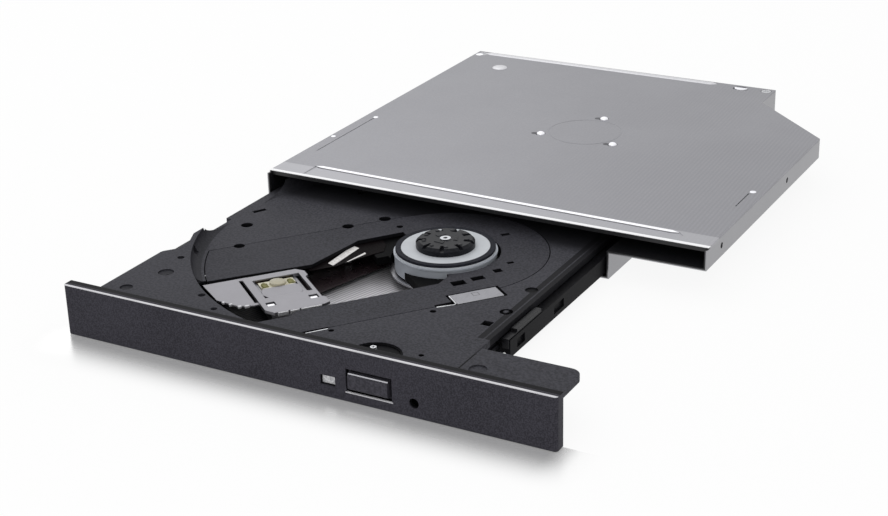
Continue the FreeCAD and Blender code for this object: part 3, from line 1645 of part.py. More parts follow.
@node("lead_screw")
def lead_screw():
    return on_sled(fuse(
        rod(("-feed_outer", "-feed_inner - motor_pocket_gap"), "-feed_side", "shaft_level", "feed_radius"),
        rod((FEED_END, "-feed_inner + feed_journal_length - motor_pocket_gap"), "-feed_side", "shaft_level",
            "feed_journal"),
    ))


@node("feed_motor")
def feed_motor():
    return on_sled(cut(
        box(("-feed_inner", "-feed_inner + motor_length"),
            ("-feed_side - motor_half", "-feed_side + motor_half"),
            ("motor_low", "frame_high")),
        rod(("-feed_inner - motor_pocket_gap", "-feed_inner + feed_journal_length"), "-feed_side",
            "shaft_level",
            "feed_journal + shaft_play"),
    ))


@node("feed_motor_plate")
def feed_motor_plate():
    return on_sled(group([box(("-feed_inner", "-feed_inner + motor_length + motor_pocket_gap"),
                              ("-motor_plate_far", "-motor_plate_near"),
                                  ("frame_high", "motor_plate_high"))]))


# Spindle motor and turntable

@node("spindle_base")
def spindle_base():
    low = "base_low"
    sheet_z = (low, f"{low} + base_sheet")
    ears = []
    for (turn,) in rows("base_ear"):
        for circle, z in (("base_ear_circle", (low, "frame_low")), ("base_radius", sheet_z)):
            ears.append(rod(f"{circle} * cos({turn} * 1 deg)", f"{circle} * sin({turn} * 1 deg)", z,
                "base_ear_radius"))
    return on_sled(cut(
        fuse(rod("0", "0", sheet_z, "base_radius"), rod("0", "0", (low, "bearing_top"), "bearing_radius"),
            *ears),
        rod("0", "0", (f"{low} + base_sheet / 2", "bearing_top + base_sheet"),
            "spindle_radius + spindle_play"),
    ))


@node("stator_core")
def stator_core():
    piece = Body("stator_core")
    z = ("core_low", "core_high")
    piece.pad("z", z, circles=[("0", "0", "core_hub"), ("0", "0", "bearing_radius + core_gap")])
    tooth = piece.pad("z", z, [
        ("core_hub - tooth_tip", "-tooth_width / 2"), ("core_radius - tooth_tip", "-tooth_width / 2"),
        ("core_radius - tooth_tip", "-tooth_tip_width / 2"), ("core_radius", "-tooth_tip_width / 2"),
        ("core_radius", "tooth_tip_width / 2"), ("core_radius - tooth_tip", "tooth_tip_width / 2"),
        ("core_radius - tooth_tip", "tooth_width / 2"), ("core_hub - tooth_tip", "tooth_width / 2"),
    ])
    piece.repeat(tooth, "tooth_count")
    return on_sled(piece.body)


@node("stator_coils")
def stator_coils():
    piece = Body("stator_coils")
    coil = piece.pad(
        "x", ("coil_inner", "coil_outer"),
        rectangle(("-tooth_width / 2 - coil_thick", "tooth_width / 2 + coil_thick"),
                  ("core_low - coil_thick", "core_high + coil_thick")),
        rectangle(("-tooth_width / 2", "tooth_width / 2"), ("core_low", "core_high")),
    )
    piece.repeat(coil, "tooth_count")
    return on_sled(piece.body)


@node("rotor_can")
def rotor_can():
    piece = Body("rotor_can")
    inner = "can_radius - can_sheet"
    piece.revolve("Revolution", [
        ("spindle_radius", "can_high - can_sheet"), (inner, "can_high - can_sheet"), (inner, "can_low"),
        ("can_radius", "can_low"), ("can_radius", "can_high - rim_sheet"),
            ("rim_radius", "can_high - rim_sheet"),
        ("rim_radius", "can_high"), ("spindle_radius", "can_high"),
    ])
    return on_sled(piece.body)


@node("spindle_shaft")
def spindle_shaft():
    return on_sled(group([rod("0", "0", ("base_low + base_sheet", "disc_level + hub_height"),
        "spindle_radius")]))


@node("turntable_ring")
def turntable_ring():
    piece = Body("turntable_ring")
    flange = "can_high + seat_flange_sheet"
    piece.revolve("Revolution", [
        ("spindle_radius", "can_high"), ("seat_flange", "can_high"), ("seat_flange", flange),
            ("seat_radius", flange),
        ("seat_radius", "disc_level"), ("spindle_radius", "disc_level"),
    ])
    return on_sled(piece.body)


@node("rubber_ring")
def rubber_ring():
    z = ("can_high + seat_flange_sheet", "disc_level + rubber_proud")
    return on_sled(cut(rod("0", "0", z, "rubber_outer"), rod("0", "0", z, "seat_radius + rubber_gap")))


@node("disc_hub")
def disc_hub():
    piece = Body("disc_hub")
    top = "disc_level + hub_height"
    piece.revolve("Revolution", [
        ("spindle_radius", "disc_level"), ("hub_radius", "disc_level"), ("hub_radius", f"{top} - hub_bevel"),
        ("hub_radius - hub_bevel", top), ("spindle_radius", top),
    ])
    slot = piece.pocket("z", (f"{top} - hub_slot_depth", top), rectangle(
        ("hub_slot_start", "hub_slot_end"), ("-hub_slot_width / 2", "hub_slot_width / 2")))
    piece.repeat(slot, "hub_slots")
    claw = piece.pocket("x", ("claw_start - claw_gap", "hub_radius + claw_inset"), rectangle(
        ("-claw_width / 2 - claw_gap", "claw_width / 2 + claw_gap"),
        ("disc_level + claw_low - claw_gap", "disc_level + claw_low + claw_height + claw_gap")))
    piece.repeat(claw, "claw_count")
    return on_sled(piece.body)


@node("hub_claws")
def hub_claws():
    piece = Body("hub_claws")
    claw = piece.pad("x", ("claw_start", "hub_radius - claw_inset"), rectangle(
        ("-claw_width / 2", "claw_width / 2"),
            ("disc_level + claw_low", "disc_level + claw_low + claw_height")))
    piece.repeat(claw, "claw_count")
    return on_sled(piece.body)


@node("hub_cap")
def hub_cap():
    top = "disc_level + hub_height"
    return on_sled(group([rod("0", "0", (top, f"{top} + cap_height"), "cap_radius")]))


# Pickup

OUTER = "-lens_radius - body_half"
INNER = "-lens_radius + body_half"


@node("pickup_base")
def pickup_base():
    body = prism([
        (OUTER, "body_left"), (OUTER, "body_bevel - body_right"), (f"{OUTER} + body_bevel", "-body_right"),
        (INNER, "-body_right"), (INNER, "body_left"),
    ], ("body_low", "body_high"))
    sleeve_z = ("sleeve_low", "sleeve_high")
    sleeve_x = ("-sleeve_outer", "-sleeve_inner")
    fork_x = ("-fork_outer", "-fork_inner")
    room = "shaft_radius + slide_play"
    return on_sled(cut(
        fuse(
            body,
            box(sleeve_x, ("-main_shaft_side - sleeve_half", "-body_right + fork_half"), sleeve_z),
            box(fork_x, ("body_left - fork_half / 2", "fork_reach"), sleeve_z),
        ),
        box(("-lens_radius - well_half", "-lens_radius + well_half"), ("-well_right", "well_left"),
            ("well_floor", "body_high + body_half")),
        rod(("-sleeve_outer - fork_half", "-sleeve_inner + fork_half"), "-main_shaft_side", "shaft_level",
            "shaft_radius + shaft_play"),
        box(fork_x, (f"side_shaft_side - ({room})", "fork_reach + fork_half"),
            (f"shaft_level - ({room})", f"shaft_level + ({room})")),
    ))


@node("pickup_cover")
def pickup_cover():
    through = ("body_high", "pickup_cover_high")
    left_edge, inner, outer = "plate_left", "-lens_radius + plate_inner", "-lens_radius - plate_outer"
    plate = prism([
        (f"{inner} - plate_bevel", left_edge), (f"{inner} + plate_step", "plate_step_left"),
        (f"{inner} + plate_step", "plate_step"), (inner, "0"), (inner, "-plate_step_right"),
        (f"{inner} + plate_step", "-plate_step_right - plate_step"),
        (f"{inner} + plate_step", "plate_step - plate_right"), (f"{inner} - plate_step", "-plate_right"),
        ("-lens_radius - plate_corner", "-plate_right"), (outer, "-plate_corner_right"),
        (outer, "plate_left - plate_bevel"), (f"{outer} + plate_bevel", left_edge),
    ], through)
    low_sheet = ("body_high", "body_high + wing_low_sheet")
    wing = prism(corners(SLED_OUTLINES, "outer_plate"), low_sheet)
    small = []
    for sign in "+-":
        x = f"-lens_radius {sign} small_window_half"
        small.append(box((f"{x} - small_window / 2", f"{x} + small_window / 2"),
                         ("-small_window_side - small_window / 2", "-small_window_side + small_window / 2"),
                             through))
    shell = cut(
        fuse(plate, wing),
        box((f"{outer} - wing_gap", outer), ("-wing_gap_right", "wing_gap_left"), through),
        box(("-lens_radius - rest_half + rest_wall", "-lens_radius + rest_half - rest_wall"),
            ("-body_right + rest_wall", "body_left - rest_wall"), ("body_high", "pickup_cover_low")),
        box(("-lens_radius - window_outer", "-lens_radius + window_inner"), ("-window_right", "window_left"),
            through),
        *small,
    )
    return on_sled(fuse(shell, prism(corners(SLED_OUTLINES, "inner_plate"), low_sheet)))


@node("pickup_actuator")
def pickup_actuator():
    half = "well_half - yoke_gap"
    y = ("-well_right + yoke_gap", "well_left - yoke_gap")
    low = "well_floor"
    return on_sled(cut(
        box((f"-lens_radius - ({half})", f"-lens_radius + {half}"), y, (low, "yoke_high")),
        box((f"-lens_radius - ({half}) + yoke_thick", f"-lens_radius + {half} - yoke_thick"),
            (f"{y[0]} - yoke_thick", f"{y[1]} + yoke_thick"),
                (f"{low} + yoke_base", "yoke_high + yoke_thick")),
    ))


@node("lens_holder")
def lens_holder():
    return on_sled(cut(
        box(("-lens_radius - holder_half", "-lens_radius + holder_half"), ("-holder_right", "holder_left"),
            ("holder_low", "holder_high")),
        rod("-lens_radius", "0", ("holder_high - optic_seat", "holder_high + optic_seat"), "optic_radius"),
    ))


@node("objective_lens")
def objective_lens():
    edge = "holder_high + optic_edge"
    dome = f"optic_top - ({edge})"
    ball = doc.addObject("Part::Sphere", "ball")
    curve = f"(optic_radius ^ 2 + ({dome}) ^ 2) / (2 * ({dome}))"
    set_sizes(ball, Radius=curve)
    move(ball, "-lens_radius", "0", f"optic_top - {curve}")
    return on_sled(fuse(
        rod("-lens_radius", "0", ("holder_high - optic_seat", edge), "optic_radius"),
        common(ball, rod("-lens_radius", "0", (edge, "optic_top + optic_edge"), "optic_radius")),
    ))


@node("screw_follower")
def screw_follower():
    x = ("-follower_centre - follower_half", "-follower_centre + follower_half")
    return on_sled(cut(
        fuse(
            prism(corners(SLED_OUTLINES, "follower_arm"), ("follower_low", "sleeve_low")),
            box(x, ("-follower_far", "-follower_near"), ("follower_low", "follower_top")),
        ),
        rod((f"{x[0]} - follower_half", f"{x[1]} + follower_half"), "-feed_side", "shaft_level",
            "feed_radius + follower_gap"),
    ))


doc.recompute()
for thing in doc.Objects:
    if {"Invalid", "Error"} & set(thing.State):
        raise RuntimeError(f"{thing.Name} ({thing.Label}) is {thing.State}")
    base = getattr(thing, "BaseFeature", None)
    if thing.TypeId in ("PartDesign::Pocket", "PartDesign::Groove") and base is not None:
        if thing.Shape.Volume >= base.Shape.Volume:
            raise RuntimeError(f"{thing.Name} removes nothing")
for name, thing in nodes.items():
    if thing.Shape.isNull() or not thing.Shape.isValid() or not thing.Shape.Solids:
        raise RuntimeError(f"{name} has no valid shape")

os.makedirs("parts", exist_ok=True)
for name, thing in nodes.items():
    thing.Shape.exportStep(f"parts/{name}.step")
    print(f"{name}: {len(thing.Shape.Solids)} solids, {thing.Shape.Volume:.1f} mm3")
print(f"{len(nodes)} sub-parts")
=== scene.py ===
"""Looks for an internal disc drive for a laptop, its tray part of the way out.

Lengths are in millimetres in the sizes below and in metres on the meshes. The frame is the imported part's own:
the middle of the steel case's floor at 0, +X to the right seen from the bezel, +Y to the rear, +Z up.
"""

from __future__ import annotations

import json
import logging
import math
from dataclasses import dataclass
from enum import Enum
from functools import cache
from typing import Callable, Sequence

import bmesh
import bpy
from mathutils import Matrix, Vector
from mathutils.geometry import tessellate_polygon

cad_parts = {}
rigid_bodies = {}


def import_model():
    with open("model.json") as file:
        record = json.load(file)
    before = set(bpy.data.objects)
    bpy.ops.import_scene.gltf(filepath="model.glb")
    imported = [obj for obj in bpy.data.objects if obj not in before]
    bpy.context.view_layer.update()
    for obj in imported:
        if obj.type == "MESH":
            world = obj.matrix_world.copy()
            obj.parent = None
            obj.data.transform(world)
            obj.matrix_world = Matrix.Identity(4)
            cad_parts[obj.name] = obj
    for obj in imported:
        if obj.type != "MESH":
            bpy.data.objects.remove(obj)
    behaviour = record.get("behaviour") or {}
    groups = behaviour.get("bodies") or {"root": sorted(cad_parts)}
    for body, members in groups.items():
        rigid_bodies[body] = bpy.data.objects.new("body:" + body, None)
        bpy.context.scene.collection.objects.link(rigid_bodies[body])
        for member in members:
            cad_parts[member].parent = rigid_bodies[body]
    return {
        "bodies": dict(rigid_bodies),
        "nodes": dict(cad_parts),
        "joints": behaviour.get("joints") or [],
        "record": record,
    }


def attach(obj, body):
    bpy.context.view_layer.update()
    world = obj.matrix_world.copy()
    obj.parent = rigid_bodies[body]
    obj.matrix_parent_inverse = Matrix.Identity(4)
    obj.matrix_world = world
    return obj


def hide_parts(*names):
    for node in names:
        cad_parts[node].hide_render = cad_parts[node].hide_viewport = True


LOG = logging.getLogger("disc_drive")
MM = 0.001
Colour = tuple[float, float, float]
Point = tuple[float, float, float]
Pair = tuple[float, float]
Outline = tuple[Pair, ...]

# The case's left wall, its mouth, the bezel's back and the lid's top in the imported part's frame
LEFT_WALL = -64.0
MOUTH = -63.05
BEZEL_BACK = -144.71
LID_TOP = 12.7

# The sled's own frame: its zero at the spindle, its travel 51 degrees off the part's X
SPINDLE = (1.75, -81.05)
SLED_TURN = math.radians(51.0)

# Corners sharper than the first are softened, and smooth shading stops at the second
SOFTENED_ANGLE = 0.6
SMOOTH_ANGLE = math.radians(38.0)


class Body(Enum):
    """The bodies that made pieces ride on."""

    CASE = "case"
    TRAY = "tray"
    ROTOR = "rotor"
    PICKUP = "pickup"
    LENS = "lens"
    FEED_SCREW = "feed_screw"


def shade(red: float, green: float, blue: float) -> Colour:
    """Turns a colour as a screen shows it, 0 to 255, into the linear one that shaders take.

    Args:
        red: Red of the screen colour.
        green: Green of the screen colour.
        blue: Blue of the screen colour.

    Returns:
        The linear colour.
    """
    shares = (channel / 255 for channel in (red, green, blue))
    return tuple(((s + 0.055) / 1.055) ** 2.4 if s > 0.04 else s / 12.92 for s in shares)


def case_point(from_left: float, from_mouth: float) -> Pair:
    """Turns distances from the case's left wall and its mouth into the part's X and Y."""
    return LEFT_WALL + from_left, MOUTH + from_mouth


def tray_point(from_left: float, behind_bezel: float) -> Pair:
    """Turns distances from the case's left wall and the bezel's back into the part's X and Y."""
    return LEFT_WALL + from_left, BEZEL_BACK + behind_bezel


def sled_point(along: float, beside: float) -> Pair:
    """Turns a place in the sled's own frame into the part's X and Y."""
    cos, sin = math.cos(SLED_TURN), math.sin(SLED_TURN)
    return SPINDLE[0] + along * cos - beside * sin, SPINDLE[1] + along * sin + beside * cos


def sled_frame() -> Matrix:
    """Gives the matrix from the sled's own frame to the part's."""
    return Matrix.Translation((*SPINDLE, 0.0)) @ Matrix.Rotation(SLED_TURN, 4, "Z")


def sum_method(operation: str, swapped: bool = False) -> Callable[[Value, Value | float], Value]:
    """Makes one of Value's methods, which adds a Math node.

    Args:
        operation: What the node does with its two terms.
        swapped: Whether the value itself is the second term.

    Returns:
        The method.
    """
    def method(self: Value, other: Value | float) -> Value:
        """Puts this value and another, or a number, through the node."""
        return self.graph.maths(operation, *((other, self) if swapped else (self, other)))

    return method


class Value:
    """A shader socket that Python's operators work on."""

    __add__ = sum_method("ADD")
    __radd__ = sum_method("ADD", swapped=True)
    __sub__ = sum_method("SUBTRACT")
    __rsub__ = sum_method("SUBTRACT", swapped=True)
    __mul__ = sum_method("MULTIPLY")
    __pow__ = sum_method("POWER")
    __gt__ = sum_method("GREATER_THAN")
    __lt__ = sum_method("LESS_THAN")

    def __init__(self, graph: Graph, socket: bpy.types.NodeSocket) -> None:
        """Keeps the socket and the graph that it belongs to."""
        self.graph = graph
        self.socket = socket

    def between(self, low: float, high: float) -> Value:
        """Gives 1 between two limits and 0 elsewhere."""
        return (self > low) * (self < high)

    def ramp(self, low: float, high: float) -> Value:
        """Gives 0 at low and 1 at high, with a soft start and end.

        Args:
            low: Where the ramp starts.
            high: Where the ramp ends.

        Returns:
            The ramp from 0 to 1.
        """
        settings = {"interpolation_type": "SMOOTHSTEP"}
        inputs = {"Value": self, "From Min": low, "From Max": high, "To Min": 0.0, "To Max": 1.0}
        return self.graph.value("ShaderNodeMapRange", settings, inputs)


class Graph:
    """The nodes of one material."""

    def __init__(self, tree: bpy.types.NodeTree) -> None:
        """Starts on an empty tree."""
        self.tree = tree
        self.tree.nodes.clear()

    def node(self, kind: str, settings: dict | None = None, inputs: dict | None = None) -> bpy.types.Node:
        """Adds a node.

        Args:
            kind: The node's type.
            settings: Its own settings, set first.
            inputs: Numbers, colours or values for its sockets, by name or place.

        Returns:
            The node.
        """
        made = self.tree.nodes.new(kind)
        for name, setting in (settings or {}).items():
            setattr(made, name, setting)
        for name, given in (inputs or {}).items():
            socket = made.inputs[name]
            if isinstance(given, Value):
                self.tree.links.new(given.socket, socket)
            elif socket.type == "RGBA" and len(given) == 3:
                socket.default_value = (*given, 1.0)
            else:
                socket.default_value = given
        return made

    def value(self, kind: str, settings: dict | None = None, inputs: dict | None = None,
              output: int | str = 0) -> Value:
        """Adds a node and gives one of its outputs.

        Args:
            kind: The node's type.
            settings: Its own settings.
            inputs: Numbers, colours or values for its sockets.
            output: The output's name or place.

        Returns:
            The output as a value.
        """
        return Value(self, self.node(kind, settings, inputs).outputs[output])

    def maths(self, operation: str, first: Value | float, second: Value | float = 0.0) -> Value:
        """Adds a Math node on one or two terms."""
        return self.value("ShaderNodeMath", {"operation": operation}, {0: first, 1: second})

    def vector(self, operation: str, first: Value | Point, second: Value | Point,
               output: str = "Vector") -> Value:
        """Adds a Vector Math node on two vectors."""
        return self.value("ShaderNodeVectorMath", {"operation": operation}, {0: first, 1: second}, output)

    def blend(self, factor: Value | float, first: Value | Colour, second: Value | Colour) -> Value:
        """Mixes two colours.

        Args:
            factor: How much of the second shows.
            first: The colour at 0.
            second: The colour at 1.

        Returns:
            The mixed colour.
        """
        return self.value("ShaderNodeMix", {"data_type": "RGBA"}, {"Factor": factor, 6: first, 7: second}, 2)

    def place(self, stretch: Point = (1.0, 1.0, 1.0)) -> Value:
        """Gives the place on the part in millimetres, each axis times its stretch."""
        raw = self.value("ShaderNodeTexCoord", output="Object")
        return self.vector("MULTIPLY", raw, tuple(s / MM for s in stretch))

    def axes(self) -> tuple[Value, Value, Value]:
        """Gives the place on the part in millimetres as three numbers."""
        split = self.node("ShaderNodeSeparateXYZ", inputs={"Vector": self.place()})
        return tuple(Value(self, split.outputs[i]) for i in range(3))

    def from_spindle(self) -> Value:
        """Gives the distance from the spindle's axis in millimetres."""
        x, y, _ = self.axes()
        return self.maths("POWER", (x - SPINDLE[0]) ** 2.0 + (y - SPINDLE[1]) ** 2.0, 0.5)

    def stripes(self, across: Value, pitch: float) -> Value:
        """Gives even stripes that rise from 0 to 1 and fall again over each pitch."""
        return self.maths("PINGPONG", across, pitch / 2) * (2 / pitch)

    def noise(self, size: float, stretch: Point = (1.0, 1.0, 1.0), detail: float = 2.0,
              roughness: float = 0.5) -> Value:
        """Adds noise with spots of about the given size.

        Args:
            size: Size of a spot in millimetres.
            stretch: Scale along each axis, less than 1 for longer spots.
            detail: How many finer layers there are.
            roughness: How strong the finer layers are.

        Returns:
            The noise, from 0 to 1.
        """
        inputs = {"Vector": self.place(stretch), "Scale": 1 / size, "Detail": detail, "Roughness": roughness}
        return self.value("ShaderNodeTexNoise", {"noise_dimensions": "3D"}, inputs)

    def soft_edges(self, radius: float) -> Value:
        """Gives the normal as if each edge had a small radius in millimetres."""
        return self.value("ShaderNodeBevel", {"samples": 4}, {"Radius": radius * MM})

    def edges(self, radius: float) -> Value:
        """Gives 1 on edges of a radius in millimetres and 0 on flat ground."""
        flat = self.value("ShaderNodeNewGeometry", output="Normal")
        along = self.vector("DOT_PRODUCT", self.soft_edges(radius), flat, "Value")
        return (1.0 - along).ramp(0.01, 0.2)

    def bump(self, height: Value, depth: float, edge: float) -> Value:
        """Turns a height into a normal, over softened edges.

        Args:
            height: The height, from 0 to 1.
            depth: The depth of that height in millimetres.
            edge: The edges' radius in millimetres.

        Returns:
            The bumped normal.
        """
        inputs = {"Height": height, "Distance": depth * MM, "Strength": 1.0, "Normal": self.soft_edges(edge)}
        return self.value("ShaderNodeBump", inputs=inputs)


Sockets = dict[str, Value]


@dataclass(frozen=True)
class Finish:
    """A surface finish, which makes one material."""

    name: str
    colour: Colour
    roughness: float = 0.5
    metallic: float = 0.0
    gloss: float = 0.5
    edge: float = 0.12
    extra: tuple[tuple[str, float], ...] = ()

    def cover(self, graph: Graph) -> Sockets:
        """Gives the sockets that change over the surface.

        Args:
            graph: The material's nodes.

        Returns:
            The values by socket name.
        """
        return {"Normal": graph.soft_edges(self.edge)}

    def lay(self, values: Sockets, share: Value, colour: Value | Colour) -> None:
        """Lays a colour over the surface's own by a share from 0 to 1."""
        values["Base Color"] = share.graph.blend(share, values["Base Color"], colour)

    @cache
    def material(self) -> bpy.types.Material:
        """Makes the material once, and gives it again after that."""
        made = bpy.data.materials.new(self.name + "_finish")
        made.use_nodes = True
        graph = Graph(made.node_tree)
        fixed = {"Base Color": self.colour, "Roughness": self.roughness, "Metallic": self.metallic,
                 "Specular IOR Level": self.gloss, **dict(self.extra)}
        shader = graph.value("ShaderNodeBsdfPrincipled", inputs={**fixed, **self.cover(graph)})
        graph.node("ShaderNodeOutputMaterial", inputs={"Surface": shader})
        return made


def darker(colour: Colour, share: float) -> Colour:
    """Gives a colour at a share of its strength, no stronger than white."""
    return tuple(min(1.0, c * share) for c in colour)


@dataclass(frozen=True)
class Moulded(Finish):
    """Moulded plastic with a fine spark-eroded grain, its edges paler in patches: partly wear, partly painted
    highlight.
    """

    gloss: float = 0.05
    grain: float = 0.6
    depth: float = 0.012
    wear_and_glint: float = 0.4

    def cover(self, graph: Graph) -> Sockets:
        """Gives the grain, the faint clouds and the paler edges, partly wear and partly painted highlight."""
        fine = graph.noise(self.grain, detail=3.0, roughness=0.65)
        cloudy = graph.noise(16.0)
        tone = graph.blend(cloudy.ramp(0.3, 0.7), darker(self.colour, 0.72), darker(self.colour, 0.9))
        speck = graph.blend(fine.ramp(0.38, 0.62) * 0.5, tone, darker(self.colour, 2.0))
        # Paler edges in noise patches: partly wear, partly a painted highlight standing in for edge glints
        edge = graph.edges(self.edge) * self.wear_and_glint * graph.noise(3.0).ramp(0.2, 0.7)
        return {
            "Base Color": graph.blend(edge, speck, darker(self.colour, 2.6)),
            "Roughness": self.roughness + (fine - 0.5) * 0.25,
            "Normal": graph.bump(fine, self.depth, self.edge),
        }


@dataclass(frozen=True)
class TraySkin(Moulded):
    """The tray's plastic, with painted shade making it near black wherever it lies low, at its rear and on the
    recess's wall.
    """

    low: float = 7.55
    low_shade_sides: Pair = (-58.0, 33.0)
    wall: Pair = (7.78, 10.7)
    wall_shade_share: float = 0.5
    rear: Pair = (-69.0, -62.5)
    rear_shadow_share: float = 0.85
    seam: Pair = (34.95, 36.95)
    seam_top: float = 9.2
    seam_back: float = -128.3
    groove: Pair = (31.7, 34.95)
    groove_lit_ridge: Pair = (33.2, 33.6)
    groove_start: float = -121.0
    groove_shadow_share: float = 0.85

    def cover(self, graph: Graph) -> Sockets:
        """Adds painted shade on the low parts, the rear, the recess's wall, the rail's groove and the seam,
        with a painted highlight on the groove's ridge.
        """
        values = super().cover(graph)
        x, y, z = graph.axes()
        # Painted shade: the low pockets and holes go near black
        under = (z < self.low) * x.between(*self.low_shade_sides)
        wall = z.between(*self.wall) * (x < self.seam[0])
        # Painted shade in the seam's gap beside the raised side plate
        seam = x.between(*self.seam) * (z < self.seam_top) * (y < self.seam_back)
        # Painted shade on the recess's wall and painted shadow over the rear, where the case's mouth shades the
        # tray
        wall_and_rear_shade = graph.maths("MAXIMUM", wall * self.wall_shade_share, y.ramp(*self.rear) * self.rear_shadow_share)
        self.lay(values, wall_and_rear_shade, darker(self.colour, 0.2))
        # Painted shadow in the rail's groove by the step, lifted on a thin ridge line that so reads as a
        # painted highlight
        ridge = 1.0 - x.between(*self.groove_lit_ridge) * 0.8
        groove = x.between(*self.groove) * (y > self.groove_start) * ridge
        self.lay(values, groove * self.groove_shadow_share, darker(self.colour, 0.15))
        self.lay(values, graph.maths("MAXIMUM", under, seam) * 0.9, darker(self.colour, 0.06))
        return values


@dataclass(frozen=True)
class CoverSkin(Moulded):
    """The sled cover's plastic, with painted shade making it near black on its cut edges."""

    low: float = 7.6

    def cover(self, graph: Graph) -> Sockets:
        """Adds painted shade on the cut edges."""
        values = super().cover(graph)
        _, _, z = graph.axes()
        # Painted shade: everything below the cover's top goes near black
        self.lay(values, (z < self.low) * 0.9, darker(self.colour, 0.06))
        return values


@dataclass(frozen=True)
class BezelSkin(Moulded):
    """The bezel's finer skin, with a painted highlight along its long top front edge."""

    grain: float = 0.3
    depth: float = 0.006
    edge: float = 0.35
    highlight_tone: Colour = shade(232, 231, 235)
    front: float = -147.71
    rear: float = -146.3
    top_face: float = 12.58
    line: float = 0.62
    openings: Pair = (0.0, 34.0)
    openings_top: float = 12.1
    openings_depth: float = 0.35
    sill: Pair = (2.12, 2.42)
    sill_sides: Pair = (13.2, 25.2)
    sill_depth: float = 0.4
    sill_highlight_share: float = 0.6

    def cover(self, graph: Graph) -> Sockets:
        """Adds the painted highlight along the top front edge, painted shade in the holes and on the top's
        rear, and a painted highlight on the button's sill.
        """
        values = super().cover(graph)
        x, y, z = graph.axes()
        top = z > self.top_face
        patchy = graph.noise(7.0).ramp(0.1, 0.6) * 0.25 + 0.6
        inside = (y > self.front + self.openings_depth) * (z < self.openings_top)
        inside = inside * x.between(*self.openings)
        # Painted shade: the top face's rear and the insides of the openings go near black
        dark = graph.maths("MAXIMUM", top * (y > self.rear), inside)
        self.lay(values, dark * 0.9, darker(self.colour, 0.1))
        # Painted highlight along the top front edge, made patchy by noise
        self.lay(values, top * (y < self.front + self.line) * patchy, self.highlight_tone)
        # Painted highlight on the sill below the button
        sill = z.between(*self.sill) * x.between(*self.sill_sides) * (y < self.front + self.sill_depth)
        self.lay(values, sill * self.sill_highlight_share, self.highlight_tone)
        return values


@dataclass(frozen=True)
class ButtonSkin(Moulded):
    """The button's skin, with a painted highlight along its top edge."""

    bright: Colour = shade(205, 205, 210)
    highlight_low: float = 7.0
    front: float = -147.86

    def cover(self, graph: Graph) -> Sockets:
        """Adds the painted highlight on the top edge."""
        values = super().cover(graph)
        _, y, z = graph.axes()
        # Painted highlight on the top front edge
        top = (z > self.highlight_low) * (y < self.front)
        self.lay(values, top * 0.85, self.bright)
        return values


@dataclass(frozen=True)
class RolledSteel(Finish):
    """Sheet steel with the fine lines of rolling along one axis."""

    metallic: float = 1.0
    lines: Point = (1.0, 0.02, 1.0)
    line_size: float = 0.5
    depth: float = 0.003
    contrast: float = 0.12

    def cover(self, graph: Graph) -> Sockets:
        """Gives the rolling lines, cloudy stains and a painted highlight on the edges."""
        line = graph.noise(self.line_size, self.lines, detail=4.0, roughness=0.7)
        stain = graph.noise(24.0, detail=3.0)
        tone = graph.blend(line.ramp(0.25, 0.75), darker(self.colour, 1 - self.contrast), self.colour)
        tone = graph.blend(stain.ramp(0.35, 0.7) * 0.2, tone, darker(self.colour, 0.85))
        # Painted highlight: the edges are lifted half way to a paler copy of the colour
        return {
            "Base Color": graph.blend(graph.edges(self.edge) * 0.5, tone, darker(self.colour, 1.5)),
            "Roughness": self.roughness + (line - 0.5) * 0.2 + (stain - 0.5) * 0.1,
            "Normal": graph.bump(line, self.depth, self.edge),
        }


@dataclass(frozen=True)
class LidSteel(RolledSteel):
    """The lid's satin steel: ribbed by its rollers on the right, with a painted highlight along its front hem.
    """

    hem_highlight: Colour = shade(250, 250, 252)
    hem_end: float = -60.5
    shadow: Colour = shade(18, 18, 20)
    face_end: float = -60.9
    step: Colour = shade(196, 196, 200)
    step_end: float = -54.6
    skin: float = 0.12
    rib_pitch: float = 1.1
    rib_slant: float = 0.05
    ribs_from: Pair = (-25.0, 55.0)
    speckle: float = 0.6

    def cover(self, graph: Graph) -> Sockets:
        """Adds the rollers' ribs, a fine speckle, the paler front step, a painted highlight on the hem and
        painted shadow on its face.
        """
        values = super().cover(graph)
        x, y, z = graph.axes()
        rib = graph.stripes(x + y * self.rib_slant, self.rib_pitch)
        share = x.ramp(*self.ribs_from) * graph.noise(30.0).ramp(0.3, 0.6) * 0.6
        self.lay(values, rib.ramp(0.2, 0.8) * share, darker(self.colour, 0.78))
        fine = graph.noise(self.speckle, detail=3.0, roughness=0.7).ramp(0.3, 0.7)
        self.lay(values, fine * 0.5, darker(self.colour, 0.78))
        self.lay(values, (y < self.step_end) * 0.35, self.step)
        # Painted highlight along the hem's top and painted shadow on its front face, both laid as non-metal
        hem_highlight = (y < self.hem_end) * (z > LID_TOP - self.skin)
        face = (y < self.face_end) * (z < LID_TOP - self.skin)
        self.lay(values, hem_highlight * 0.95, self.hem_highlight)
        self.lay(values, face, self.shadow)
        values["Metallic"] = 1.0 - graph.maths("MAXIMUM", face, hem_highlight)
        return values


